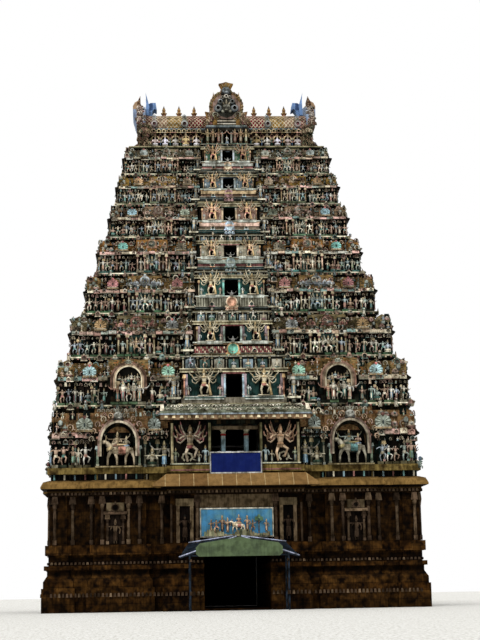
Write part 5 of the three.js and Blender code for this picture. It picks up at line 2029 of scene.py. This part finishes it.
@dataclass(kw_only=True)
class FirstStorey(UpperStorey):
    """The first plastered storey: bull niches, many-armed figures beside the opening, and its eave."""

    arch_at: float = 4.8
    plane: float = 4.96
    foot: float = 5.93
    spring: float = 6.88
    slope: float = 0.97

    def _long_face(self) -> None:
        """Dresses the front or the back."""
        for hand in (-1, 1):
            self._bull_niche(hand)
            self._between(hand)
            self._panel(hand)
            self._bay((hand * 5.95, hand * 6.9), 4.61)
            self._bay((hand * 6.9, hand * 7.54), 4.74)
            self._shell(hand * 6.2, 4.76, self.scheme.far)
            self._corner(hand)
            self._posts((hand * 3.55, hand * 7.55))
        self._great_eave()

    def _short_face(self) -> None:
        """Dresses a short side."""
        super()._short_face()
        self._posts((-4.7, 4.7))

    def _posts(self, span: Span) -> None:
        """Sets small posts on a black back, painted shade, under the ochre ledge.

        Args:
            span: where they start and end.
        """
        tones = "4f7f7a 1a1814 b0a688 15130f 6a8a94 1a1814 8a4a3c 0f0e0c".split()
        for i, (start, step) in enumerate(self.steps(span, 0.21)):
            along = start + 0.5 * step
            out = self.on(along, 5.46)
            # The black behind the posts is painted shade; every other post is near-black.
            self.plate((along - 0.105, along + 0.105), out + 0.02, (5.35, 5.59), "0d0c0a", 0.04)
            self.plate((along - 0.035, along + 0.035), out + 0.06, (5.36, 5.58), tones[i % 8], 0.05)

    def _bull_niche(self, hand: int) -> None:
        """Sets the bull with its riders in the great arch.

        Args:
            hand: -1 for the left side, 1 for the right.
        """
        middle, out, left = hand * self.arch_at, self.plane, hand < 0
        # The near-black back and hollow in the arch are painted shade.
        self.plate((middle - 0.66, middle + 0.66), 4.7, (self.foot, 6.9), "0d0c0a")
        for form, place, up, size, paints in (
            ("hollow", 4.69, self.spring, (0.68, 0.1, 0.8), "0d0c0a"),
            ("arch_rim", out, self.spring, (0.86, 0.9, 0.98), "8a6a58 8c6c5a 96593a b5a484"),
            ("mask", out + 0.12, 7.96, 0.5, "8f8f84 3c3c38 8a8a78 c4c4b8"),
        ):
            self.carve(form, (middle, place, up), size, paints)
        for offset in (-0.86, 0.86):
            post = "7f9478 6a8484 8a9a94 8f8f74"
            self.carve("pilaster", (middle + offset, out + 0.08, 5.9), (0.8, 0.8, 0.82), post)
        bull = "a89470 a8603c b59a5c" if left else "b0a88c 4f8a88 a89850"
        self.person("bull", (middle + 0.02, out - 0.02, self.foot), 1.36, bull)
        rider = "b59a70 8a5a3c a8905c 8f8a6c" if left else "9aa89a 6f8f7c"
        self.person("enthroned", (middle - 0.05, out - 0.02, 6.62), 0.98, rider)
        self.person("seated", (middle + 0.32, out + 0.05, 6.64), 0.7)
        self.plate((middle - 0.96, middle + 0.98), 5.08, (5.84, 5.9), "948048", 0.2)
        scrolls = ["b0a890 8a6a50 b0a890", "948c74 8a6a50 7a6a50"]
        self.row("scroll", (middle - 0.9, middle + 0.75), (4.97, 8.19), 0.19, (0.15, 0.5, 0.15), scrolls)
        leaves = ["a8845c 8a5a48 b0986c", "a09070 7a6a50 8f7a58", "b08a70 8c5c4c a8906c"]
        for i in range(11):
            turn = math.radians(8 + 16.4 * i)
            spot = (middle + 1.1 * math.cos(turn), 4.99, 6.86 + 1.16 * math.sin(turn))
            self.carve("scroll", spot, (0.26, 0.6, 0.26), leaves[i % 3], 0.6 * math.cos(turn))
        self.crowd((middle - 1.0, middle + 1.0), (None, 7.95), (0.15, 0.2), 0.17, FRINGE)

    def _between(self, hand: int) -> None:
        """Sets the attendants and small figures between the bull niche and the middle bay.

        Args:
            hand: -1 for the left side, 1 for the right.
        """
        out = self.on(3.3 * hand, 6.3)
        # A near-black back behind the attendants: painted shade.
        self.plate((2.72 * hand, 3.75 * hand), out + 0.02, (5.86, 6.98), "12201a")
        self.person("enthroned", (3.42 * hand, out + 0.16, 5.87), 1.15, "bdb494 2c4434 a89460 8f8f6c 24382c")
        self.person(
            "tall_attendant", (2.92 * hand, out + 0.2, 5.82), 1.12, "a8a08c 4c8fb8 b5a468 8fb0bc 2c3c3c"
        )
        for along in (2.62, 3.2, 3.72):
            spot = (along * hand, out + 0.08, 5.86)
            self.carve("pilaster", spot, (0.7, 0.7, 1.14), "8f8a6c 5c6c58 8a7a4c 8f9484")
        self.crowd((2.75 * hand, 3.9 * hand), (out + 0.12, 7.02), (0.36, 0.46), 0.2)
        shell = "8f9c94 5c7c74 8f7440 a8a896 3f4f46"
        self.carve("scallop", (3.33 * hand, 4.86, 7.62), (0.27, 0.2, 0.27), shell)
        self.crowd((2.9 * hand, 3.8 * hand), (4.86, 7.95), (0.25, 0.34), 0.17, SHRINES)

    def _panel(self, hand: int) -> None:
        """Sets the many-armed figure in its panel beside the opening.

        Args:
            hand: -1 for the left side, 1 for the right.
        """
        out, rise = 5.14, (self.foot, 7.6)
        # A near-black back behind the many-armed figure: painted shade.
        self.plate((1.1 * hand, 2.6 * hand), out + 0.02, rise, "15100c")
        for along, tone in ((1.06, "7c7440"), (2.6, "9a8a58")):
            self.plate(((along - 0.05) * hand, (along + 0.05) * hand), out + 0.2, rise, tone, 0.2)
        lord = "ccb490 8a2c28 b08a4c a85048" if hand < 0 else "b89468 7a5a34 a8763c 94603c"
        self.person("lord", (1.86 * hand, out + 0.2, 6.02), 1.5, lord)
        self.carve("scroll", (1.98 * hand, out + 0.16, 6.2), (0.5, 0.8, 0.42), "b5ac8c")
        for along, tall, tone in ((1.24, 0.72, "8fa8ac"), (2.46, 0.62, "8f9a74"), (1.5, 0.5, "a89a7c")):
            self.person("prince", (along * hand, out + 0.18, 5.96), tall, tone + " 7c8f8c")
        for low, tone, deep in ((5.9, "a8a888", 0.24), (5.74, "33502f", 0.18), (5.64, "7a3a34", 0.3)):
            self.plate((1.0 * hand, 2.68 * hand), out + deep, (low, low + 0.05), tone, deep)

    def _great_eave(self) -> None:
        """Sets the lip, the blocks under it and the scrolls on the slope of the eave."""
        pick, uniform = self.rng.choice, self.rng.uniform
        self.bands(
            3.08, 5.84, 7.69, [(0.08, 0.08, 0.195, 0.255, "8fa0ac", 0.24), (0, 0, 0, 0.19, "8a6430", 0.3)]
        )
        blocks = ["f0dca4", "c8ac70"]
        self.row("petal", (-3.0, 3.0), (5.86, 7.745), 0.31, (0.18, 0.12, 0.1), blocks)
        for i in range(66):
            along = -2.78 + 5.56 * (i // 2 + uniform(0.2, 0.8)) / 33
            up = 8.1 + 0.17 * (i % 2) + uniform(-0.03, 0.03)
            tone, size = pick(("f0e8cc", "d8d0ac", "c8c0a0", "e8dcc8", "a49c7c")), uniform(0.17, 0.25)
            spot = (along, 5.77 - 1.25 * (up - 8.0), up)
            self.carve(
                "scroll", spot, (size, 0.5, size), f"{tone} {tone} a89c7c", uniform(-0.5, 0.5), self.slope
            )
        for hand in (-1, 1):
            self.carve("petal", (3.0 * hand, 5.7, 7.96), (0.22, 0.3, 0.6), "d8ccac", tilt=self.slope)


# The base and the roof.


@dataclass(kw_only=True)
class BaseFace(Dresser):
    """One side of the base: carved pilasters and niches, the gateway's relief and the boards' frames."""

    stone: tuple[str, ...] = ("50391f", "604828", "3a2814", "44301a")
    ledge: float = 2.72
    middle: float = 3.6

    def _stones(self) -> str:
        """Picks the dust tones of one carved stone, with near-black backs and hollows as painted shade."""
        return self.mixed(*[self.stone] * 4, "140d07", "0c0704")

    def walls(self, half: float) -> None:
        """Sets the pilasters, small shrine fronts and leaf rows along one side.

        Args:
            half: half its length.
        """
        for hand in (-1, 1):
            for share in (0.4, 0.52, 0.58, 0.72, 0.78, 0.88, 0.975):
                along = hand * share * half
                spot = (along, self.on(along, self.middle) + 0.05, self.ledge)
                self.carve("pilaster", spot, (1.05, 0.9, 1.96), self._stones())
        for along in (-0.65 * half, 0.65 * half):
            out = self.on(along, self.middle)
            # A near-black back in the niche: painted shade.
            self.plate((along - 0.3, along + 0.3), out + 0.06, (self.ledge, 4.0), "1c120a", 0.08)
            for offset in (-0.32, 0.32):
                self.carve(
                    "pilaster", (along + offset, out + 0.12, self.ledge), (0.8, 0.8, 1.2), self._stones()
                )
            self.carve("roll", (along, out, 3.92), (0.95, 0.3, 0.14), self._stones())
            self.plate((along - 0.36, along + 0.36), out + 0.14, (4.06, 4.4), "5c4a28", 0.16)
            self.carve("niche", (along, out + 0.14, 4.2), (0.17, 0.12, 0.17), self._stones())
            self.person("deity", (along, out + 0.14, 2.74), 1.0, self._stones())
        for height, size in ((0.62, 0.15), (1.92, 0.1), (4.73, 0.11)):
            for start, step in self.steps((-half, half), 0.16):
                along = start + 0.5 * step
                out = self.on(along, height + 0.5 * size)
                if out > 0.6 * half:
                    self.carve("petal", (along, out + 0.02, height), (0.13, 0.1, size), self._stones())

    def bay(self) -> None:
        """Sets the niches and the beige panel beside and over the gateway."""
        out, ledge = 5.3, self.ledge
        self.plate((-1.5, 1.5), out + 0.03, (4.14, 4.66), "54411f")
        for hand in (-1, 1):
            # The near-black backs of the niches, 0f0805, are painted shade.
            for low, high, proud, foot, top, tone, deep in (
                (1.9, 2.32, 0.02, 2.75, 4.2, "0f0805", 0.06), (1.76, 1.9, 0.1, ledge, 4.3, "5c4826", 0.12),
                (2.32, 2.46, 0.1, ledge, 4.3, "544022", 0.12), (2.62, 2.7, 0.1, ledge, 4.3, "3c2a14", 0.12),
                (1.74, 2.48, 0.12, 4.2, 4.5, "5c4a26", 0.14),
            ):
                self.plate((low * hand, high * hand), out + proud, (foot, top), tone, deep)
            self.carve("pilaster", (1.6 * hand, out + 0.06, self.ledge), (1.1, 0.9, 1.94), self._stones())
            self.person("attendant", (2.11 * hand, out + 0.1, 2.8), 1.15, "30200f")

    def frame(self, box: Point, out: float, tone: str) -> None:
        """Sets a flat border round a board.

        Args:
            box: half the board's width, its foot and its top.
            out: how far its front is from the axis.
            tone: the border's colour.
        """
        half, foot, top = box
        wide = 0.05
        for low, high in ((foot, foot + wide), (top - wide, top)):
            self.plate((-half, half), out + 0.02, (low, high), tone, 0.04)
        for low, high in ((-half, wide - half), (half - wide, half)):
            self.plate((low, high), out + 0.02, (foot, top), tone, 0.04)

    def relief(self) -> None:
        """Sets a plain country procession on the blue ground."""
        out, rng, bushes, half = 5.4, self.rng, 26, 1.34
        for i in range(bushes):
            along = -half + 2 * half * (i + 0.5) / bushes
            tall = 0.16 + 0.1 * math.sin(0.5 * i) + rng.uniform(0, 0.05)
            tone = rng.choice(("7a7a50", "8f8a5c", "66704a", "94865a"))
            self.carve("petal", (along, out + 0.02, 2.97), (0.13, 0.14, tall), tone)
        brown = "b88c58 8a5030 c89c50 c8a870 4c5c44"
        walkers = (
            (-1.05, 0.5), (-0.84, 0.58), (-0.6, 0.66), (-0.38, 0.6), (0.42, 0.64), (0.64, 0.5), (1.2, 0.52)
        )
        for along, tall in walkers:
            self.person(rng.choice(STANDING), (along, out + 0.07, 3.1 + 0.06 * rng.random()), tall, brown)
        self.person("bull", (0.04, out + 0.05, 3.1), 0.62, "dcc8a0 a8583c c4a868")
        self.person("seated", (0.08, out + 0.07, 3.48), 0.5, brown)
        self.carve("pilaster", (0.9, out + 0.04, 3.1), (0.3, 0.3, 0.5), "6a5438")
        for along, up in ((0.9, 3.66), (0.8, 3.58), (1.0, 3.57)):
            self.carve("petal", (along, out + 0.05, up), (0.18, 0.14, 0.16), "4c7a50")


def dress_base(shop: Workshop) -> None:
    """Builds the base's carving, the gateway's relief, the notice board's border and the canopy's pipes.

    Args:
        shop: the stamps and the stucco.
    """
    carving = Panel("base_carving", "granite")
    half_depth, half_length, pipe = 4.8, 7.6, 0.028
    for turn in range(4):
        face = BaseFace(shop, Side(turn), random.Random(turn), carving, carving)
        face.walls(half_depth if turn % 2 else half_length)
        if turn % 2 == 0:
            face.bay()
    carving.finish(PaintedStucco("dusty_carved_granite", 0.85, relief=0.008).material())
    painted, border = Panel("gateway_relief", "relief_paint"), Panel("notice_border", "notice_paint")
    face = BaseFace(shop, Side(0), random.Random(5), painted, painted)
    face.relief()
    face.frame((1.5, 2.92, 4.11), 5.4, "b5b09c")
    painted.finish(shop.stucco)
    BaseFace(shop, Side(0), random.Random(6), border, border).frame((1.07, 5.5, 6.39), 5.5, "a8a8a4")
    border.finish(shop.stucco)
    carver, pipes = Carver(), Panel("canopy_pipes", "canopy_paint")
    for hand in (-1, 1):
        for near, far, out, high, low in ((0.16, 1.98, 5.52, 2.97, 2.72), (0.1, 2.38, 6.99, 2.9, 2.12)):
            carver.drum(SKIN, (near * hand, -out, high), (far * hand, -out, low), (pipe, pipe), 8)
    pipes.set(carver.stamp(), Matrix.Identity(4), "9aa4c8")
    pipes.finish(shop.stucco)


@dataclass(kw_only=True)
class RoofFace(Dresser):
    """One side of the roof: seated figures and arch heads, the gables' carving and the vault's discs."""

    neck_foot: float = 20.416
    leaf_count: int = 70
    feathers: int = 26
    gable_middle: float = 22.206
    gable_radius: float = 0.72

    def neck(self) -> None:
        """Sets the seated figures in arches with black insides, painted shade, with coloured arch heads over
        them.
        """
        foot = self.neck_foot
        long = self.side.turn % 2 == 0
        spots = (1.35, 1.83, 2.29, 2.76, 3.2) if long else (0.3, 0.85, 1.4)
        pitch = 0.47 if long else 0.54
        skins = ("d8cccc", "c8a858" if long else "d8d0c4", "e0dcd4", "d0ccdc", "d8c0bc")
        heads = ("c88c44", "b86c5c", "c8b068", "b8b09c", "c07c64")
        for hand in (-1, 1):
            for i, share in enumerate(spots):
                along, between = hand * share, hand * (share - 0.5 * pitch)
                out = self.on(along, foot + 0.3)
                head, tone = heads[(i + (hand > 0) * 2) % 5], skins[(i + (hand > 0)) % 5]
                # A near-black back in each arch: painted shade.
                self.plate(
                    (along - 0.45 * pitch, along + 0.45 * pitch), out + 0.02, (foot, foot + 0.4), "0b0a0a"
                )
                post = ("2f6a6a", "35608a", "2f7a68")[i % 3] + " 8a8f84 8f8a6c a8a490"
                for form, spot, size, paints in (
                    ("medal", (along, out + 0.02, foot + 0.39), (0.2, 0.16, 0.17),
                     f"{head} {head} c8a450 d0b070 8a5a4c 0b0a0a"),
                    ("mask", (along, out + 0.1, foot + 0.57), 0.13, head + " a86a48 c8a450 d8c080"),
                    (
                        "medal", (between, out + 0.06, foot + 0.52), (0.08, 0.1, 0.08),
                        "c09858 a06c50 b59a54 8a4a34"
                    ),
                    ("pilaster", (between, out + 0.06, foot), (0.4, 0.4, 0.42), post),
                ):
                    self.carve(form, spot, size, paints)
                paints = f"{tone} {tone if i % 2 else 'c4c0c8'} a89468 c4bcac 8a8078"
                big = 0.85 if hand < 0 and i == 1 and long else 0.72
                self.person("seated", (along, out + 0.16, foot + 0.02), big, paints)
        span = (1.1, 3.55) if long else (0.0, 1.75)
        for hand in (-1, 1):
            ends = (hand * span[0], hand * span[1])
            out = self.on(sum(ends) / 2, foot + 0.3)
            self.plate(ends, out + 0.2, (foot - 0.09, foot + 0.015), "b0a898", 0.24)
            # The near-black band under the pale lip is painted shade.
            self.plate(ends, out + 0.12, (foot - 0.15, foot - 0.09), "14110e", 0.2)
            if long:
                self._leaves(hand)

    def _leaves(self, hand: int) -> None:
        """Sets the heap of leaves, scrolls and small figures beside the neck, under an end gable.

        Args:
            hand: -1 for the left end, 1 for the right.
        """
        pick, uniform, foot = self.rng.choice, self.rng.uniform, self.neck_foot
        for i in range(self.leaf_count):
            share = i / (self.leaf_count - 1)
            along, proud = 3.38 + uniform(0, 0.72 - 0.3 * share), uniform(0, 0.08)
            tone = pick(("a88a5c", "8a6a44", "6f5a3c", "b59c70", "5f6c48", "94604c"))
            size, paints = uniform(0.14, 0.24), f"{tone} {tone} a8945c"
            up = foot + 0.03 + 0.95 * share
            spot = (hand * along, max(1.52 - 0.2 * share, self.on(hand * along, up)) + proud, up)
            self.carve("scroll", spot, (size, 0.6, size), paints, uniform(-0.8, 0.8))
        for along, up in ((3.66, 0.0), (3.9, 0.02), (3.74, 0.42)):
            skin = pick(("a88a5c", "b09468", "8a6a44")) + " 5f6c48 94783c 7a6a4c"
            self.person(pick(STANDING[1:3]), (hand * along, 1.66, foot + up), 0.44, skin)

    def vault(self) -> None:
        """Sets the discs and pinnacles on the vault's foot, the arch heads and the ridge's beads."""
        arches = [
            f"{tone} {tone} c8a450 d8c080 6a4a34 14100e" for tone in ("c89048", "b87060", "c8b068", "a89c84")
        ]
        beads = ["8f7a58", "a88a68", "7a6a54"]
        for hand in (-1, 1):
            for along, ring, hub in ((hand * 1.88, "848c90", "6c3440"), (hand * 3.24, "907880", "984858")):
                disc = f"{hub} {ring} 8a8a7c a8a498 {ring} {hub}"
                self.carve("eye", (along, self.on(along, 21.5) - 0.02, 21.5), (0.16, 0.36, 0.16), disc)
                for i in range(4):
                    up, paints = 21.68 + 0.13 * i, ("8a9a88", "a8a498", "7f8fa8")[i % 3]
                    self.carve("scroll", (along, self.on(along, up) + 0.02, up), (0.16, 0.4, 0.14), paints)
            spot = (self.on(2.2 * hand, 21.13) - 0.01, 21.14)
            self.row("medal", (1.12 * hand, 3.6 * hand), spot, 0.235, (0.1, 0.08, 0.08), arches)
            self.row("petal", (hand * 0.9, hand * 3.5), (0.06, 22.3), 0.13, (0.09, 0.1, 0.08), beads)

    def finials(self) -> None:
        """Sets the lotus rings round the foot of every pot finial."""
        for name in self.shop.nodes:
            if name.startswith("finial"):
                low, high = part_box(name)
                west, south, foot = low
                for up, wide, tall in ((0.0, 0.28, 0.22), (0.19, 0.2, 0.17)):
                    spot = Matrix.Translation(((west + high.x) / 2, (south + high.y) / 2, foot + up))
                    place = spot @ Matrix.Diagonal((wide, wide, tall, 1.0))
                    self.ornament.set(self.shop.forms["dome"], place, "a8845c 8c5840 b4945c 8f7854 7c5c40")

    def gable(self) -> None:
        """Sets the feathered edge, the ring eyes, the masks and the flares on the great gable."""
        front, middle, pick, uniform = 2.22, self.gable_middle, self.rng.choice, self.rng.uniform
        for i in range(self.feathers):
            turn = math.radians(-58 + 296 * i / (self.feathers - 1))
            tone = ("b09458", "8f7440", "a8845c", "948c5c")[i % 4]
            x, z = self.gable_radius * math.cos(turn), self.gable_radius * math.sin(turn)
            spot = (x, front, middle + z)
            self.carve("eye", spot, (0.065, 0.12, 0.065), f"{tone} " * 5 + "6a4a30")
        eye, small = "90989c 748088 78848c 949894 5c6468 24221f", "a89480 8f8a78 8f7440 b0a898"
        for form, along, out, up, size, paints in (
            ("hollow", 0, 0, middle, (0.64, 0.4, 0.64), "8c6c5c " * 6),
            ("hollow", 0, 0.03, 22.18, (0.46, 0.3, 0.5), "45453c " * 6),
            ("eye", 0.27, 0.05, 22.42, (0.12, 0.3, 0.12), eye),
            ("eye", 0.37, 0.05, 22.1, (0.17, 0.36, 0.17), eye),
            ("mask", 0, 0.12, 22.1, 0.55, "4c4a40 8a8a78 8f8468 a8a894"),
            ("mask", 0, 0.02, 22.95, 0.52, "7f8a90 3a3a38 b59a54 a8b4bc"),
            ("eye", 0.16, 0.05, 22.62, (0.09, 0.2, 0.09), small),
            ("eye", 0, 0.05, 22.66, (0.1, 0.3, 0.1), small),
            ("scroll", 0.5, 0.02, 21.82, (0.3, 0.8, 0.26), "8f8f78"),
        ):
            for hand in (-1, 1) if along else (1,):
                self.carve(form, (hand * along, front + out, up), size, paints)
        for hand in (-1, 1):
            for _ in range(30):
                share = self.rng.random()
                along = 0.62 + 0.55 * (1 - share) * self.rng.random()
                tone = pick(("a0845c", "8a3c40", "b89c74", "7a5c40", "94703c", "6c3c38"))
                size, spot = uniform(0.13, 0.22), (hand * along, front - 0.05, 21.36 + 0.62 * share)
                self.carve("scroll", spot, (size, 0.8, size), f"{tone} {tone} b59a64", uniform(-0.6, 0.6))
        steps = (
            (0.0, "b0a894", 0.1), (0.08, "2a2620", 0.05), (0.14, "a89c84", 0.08), (0.22, "3a342c", 0.04)
        )
        self.bands(
            0.42, front, 21.36, [(0, proud, low, low + 0.055, tone, 0.2) for low, tone, proud in steps]
        )
        self._porch()

    def _porch(self) -> None:
        """Sets the figures beside the neck's door and the ornament under it."""
        out = self.on(0.5, 20.7)
        for hand in (-1, 1):
            for along, tones in ((0.36, "d0946c b8603c"), (0.62, "c8985c a07c44"), (0.86, "a89058 6c7c50")):
                # A near-black back behind each attendant: painted shade.
                self.plate(((along - 0.1) * hand, (along + 0.1) * hand), out + 0.02, (20.44, 21.0), "1c1814")
                self.person(
                    "tall_attendant", (along * hand, out + 0.16, 20.47), 0.66, tones + " b59a5c a8a08c"
                )
            self.plate((0.17 * hand, 0.24 * hand), out + 0.06, (20.44, 21.02), "a8a894")
        self.person("prince", (0, out + 0.02, 20.53), 0.34, "c4c4bc b5b5ac")
        self.plate((-0.95, 0.95), out + 0.2, (20.36, 20.45), "3f6a58", 0.24)
        blue = "8fa8bc 7f98b0 8fa8bc a8bcc8 6a88a8 2c3c50"
        self.carve("niche", (0, out + 0.24, 20.22), (0.28, 0.2, 0.2), blue)

    def ends(self) -> None:
        """Sets the scales and the leafy mass on the end gables."""
        pick, uniform = self.rng.choice, self.rng.uniform
        scales = ("b5a890", "a87c70", "94908a", "bdb0a0", "8a6a60")
        leaves = ("8a6a3c", "a8885c", "6a4a34", "b5a488", "5c6448", "8a4a38")
        masses = ((34, (3.66, 4.1), (21.3, 22.6), scales), (30, (3.55, 4.2), (20.98, 21.5), leaves))
        for hand in (-1, 1):
            for count, reach, rise, tones in masses:
                for _ in range(count):
                    along, up, tone = hand * uniform(*reach), uniform(*rise), pick(tones)
                    out = self.on(along, up)
                    if out < 0.1:
                        continue
                    if tones is scales:
                        self.carve("eye", (along, out, up), (0.06, 0.12, 0.06), f"{tone} " * 5 + "3a3430")
                    else:
                        curl, spin = f"{tone} {tone} a8945c", uniform(-0.8, 0.8)
                        self.carve("scroll", (along, out + 0.02, up), (0.16, 0.6, 0.16), curl, spin)


def dress_roof(shop: Workshop) -> None:
    """Builds the roof's figures and ornaments.

    Args:
        shop: the stamps and the stucco.
    """
    panels = Panel("roof_figures", "roof_paint"), Panel("roof_ornament", "roof_paint")
    for turn in range(4):
        face = RoofFace(shop, Side(turn), random.Random(50 + turn % 2), *panels)
        face.neck()
        if turn % 2 == 0:
            face.vault()
            face.gable()
            face.ends()
    face.finials()
    for panel in panels:
        panel.finish(shop.stucco)


def dress_storey(shop: Workshop, level: Level) -> None:
    """Builds one storey's figures and ornaments on all four faces.

    Args:
        shop: the stamps and the stucco.
        level: the storey.
    """
    number = level.number
    panels = [Panel(f"tala_{number}_{part}", "shrine_paint") for part in ("figures", "ornament")]
    kind = FirstStorey if number == 1 else UpperStorey
    for turn in range(4):
        # The figures on the short sides stand closer to the wall.
        stand = 0.04 if turn % 2 else 0.13
        rng = random.Random(100 * number + turn % 2)
        kind(shop, Side(turn), rng, *panels, stand, level=level).build()
    for panel in panels:
        panel.finish(shop.stucco)


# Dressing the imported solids.


def clad(finishes: dict[str, Finish], nodes: dict[str, bpy.types.Object]) -> None:
    """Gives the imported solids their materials.

    Args:
        finishes: a finish for each start or end of a node's name; the first that fits is used.
        nodes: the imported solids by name.
    """
    made = {key: finish.material() for key, finish in finishes.items()}
    for name, node in nodes.items():
        key = next((key for key in made if name.startswith(key) or name.endswith(key)), None)
        if key is None:
            log.warning("%s has no finish", name)
            continue
        node.data.materials.clear()
        node.data.materials.append(made[key])


def solid_finishes(plan: TowerPlan) -> dict[str, Finish]:
    """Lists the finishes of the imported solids.

    Args:
        plan: the storeys' sizes.

    Returns:
        A finish for each start or end of a node's name.
    """
    granite, panels = Granite(), PanelledPlaster()
    cornice = (
        (0.0, "20160c"), (0.2, "3c2c16"), (0.3, "160e07"), (0.44, "806438"), (0.86, "6c5430"),
        (0.97, "241a0e")
    )
    columns = (
        (0.0, "3c4c38"), (0.04, "7f97a0"), (0.66, "9aa8a4"), (0.74, "7c2c28"), (0.8, "a8a48c"),
        (0.9, "6a5c48")
    )
    roof_edge = ((0.0, "2a2620"), (0.5, "3c4448"), (0.72, "8a9494"), (0.94, "4c5658"))
    gilding = (
        (0.0, "8f7854"), (0.2, "b0905c"), (0.3, "8c5840"), (0.38, "b4945c"), (0.55, "8a5c3c"),
        (0.62, "ac8c5c"),
        (0.78, "6a5038"), (0.86, "4c4844"),
    )
    terracotta = ("8a6c48", "7a5f42", "946f4a", "6c5438", "8c7450", "7c5038")
    finishes: dict[str, Finish] = {
        "plinth_": granite,
        "base_cornice": BandedPaint(
            "banded_limewash_over_granite", foot=4.7, top=5.34, wear=0.5, bands=cornice
        ),
        "base_": granite,
        "gateway_eave": BoardedLimewash("ochre_limewashed_slabs", wear=0.3),
        "gateway_": granite,
        "tala_1_floor": CoatOfPaint("ochre_limewash", base="7c6a3c", dust="4a3a20"),
        "tala_1_columns": BandedPaint("banded_limewash", foot=5.93, top=7.5, bands=columns),
        "tala_1_eave": CoatOfPaint("grey_green_limewash", base="7c8270", dust="4a4a38"),
        "tala_1_parapet": PanelledPlaster(
            "scaled_terracotta_plaster", width=0.1, height=0.07, paints=terracotta
        ),
        "roof_vault": DiamondLattice(),
        "roof_cornice": BandedPaint("banded_limewash_cornice", foot=21.056, top=21.336, bands=roof_edge),
        "roof_gable": CoatOfPaint("ochre_painted_stucco", base="9a7844", dust="7a5a40"),
        "end_gable": HornPaint(),
        "finial": BandedPaint("gilt_and_red_oil_paint", 0.5, foot=22.3, top=22.986, wear=0.5, bands=gilding),
        # The walls behind the figures take the near-black default panels: painted shade, partly smoke-blackened.
        "_walls": panels,
        "relief_panel": CoatOfPaint("sky_blue_limewash", base="4682aa", dust="5a8a9a", wear=0.3),
        "notice_board": CoatOfPaint("blue_enamel", 0.4, base="101c54", dust="16235a", wear=0.2),
        "entrance_canopy": CoatOfPaint("painted_sheet_steel", 0.5, 0.2, base="2a3440", dust="1c2228"),
        "canopy_board": CoatOfPaint("green_gloss_paint", 0.5, base="5a6a4c", dust="48543f", wear=0.3),
    }
    ledge = ((0.0, "1c1a12"), (0.42, "3c4432"), (0.6, "a39a7a"))
    for number in range(2, NECK + 1):
        floor = plan.floor(number)
        name = f"tala_{number}_floor" if number < NECK else "neck_floor"
        finishes[name] = BandedPaint("ledge_limewash", foot=floor - 0.12, top=floor, bands=ledge)
    for number in range(2, NECK):
        paints = (*SCHEMES[number].roof.split(), "3a3626", "4c4836")
        scales = PanelledPlaster("scaled_painted_plaster", width=0.1, height=0.075, paints=paints)
        finishes[f"tala_{number}_parapet"] = scales
    return finishes


def main() -> None:
    """Dresses the frame."""
    logging.basicConfig(level=logging.INFO, format="%(message)s")
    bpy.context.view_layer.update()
    studio = Studio()
    studio.camera()
    studio.light()
    studio.props()
    plan = TowerPlan()
    clad(solid_finishes(plan), frame["nodes"])
    shop = Workshop(frame["nodes"])
    dress_base(shop)
    for number in range(1, NECK):
        dress_storey(shop, plan.level(number))
    dress_roof(shop)


if __name__ == "__main__":
    main()
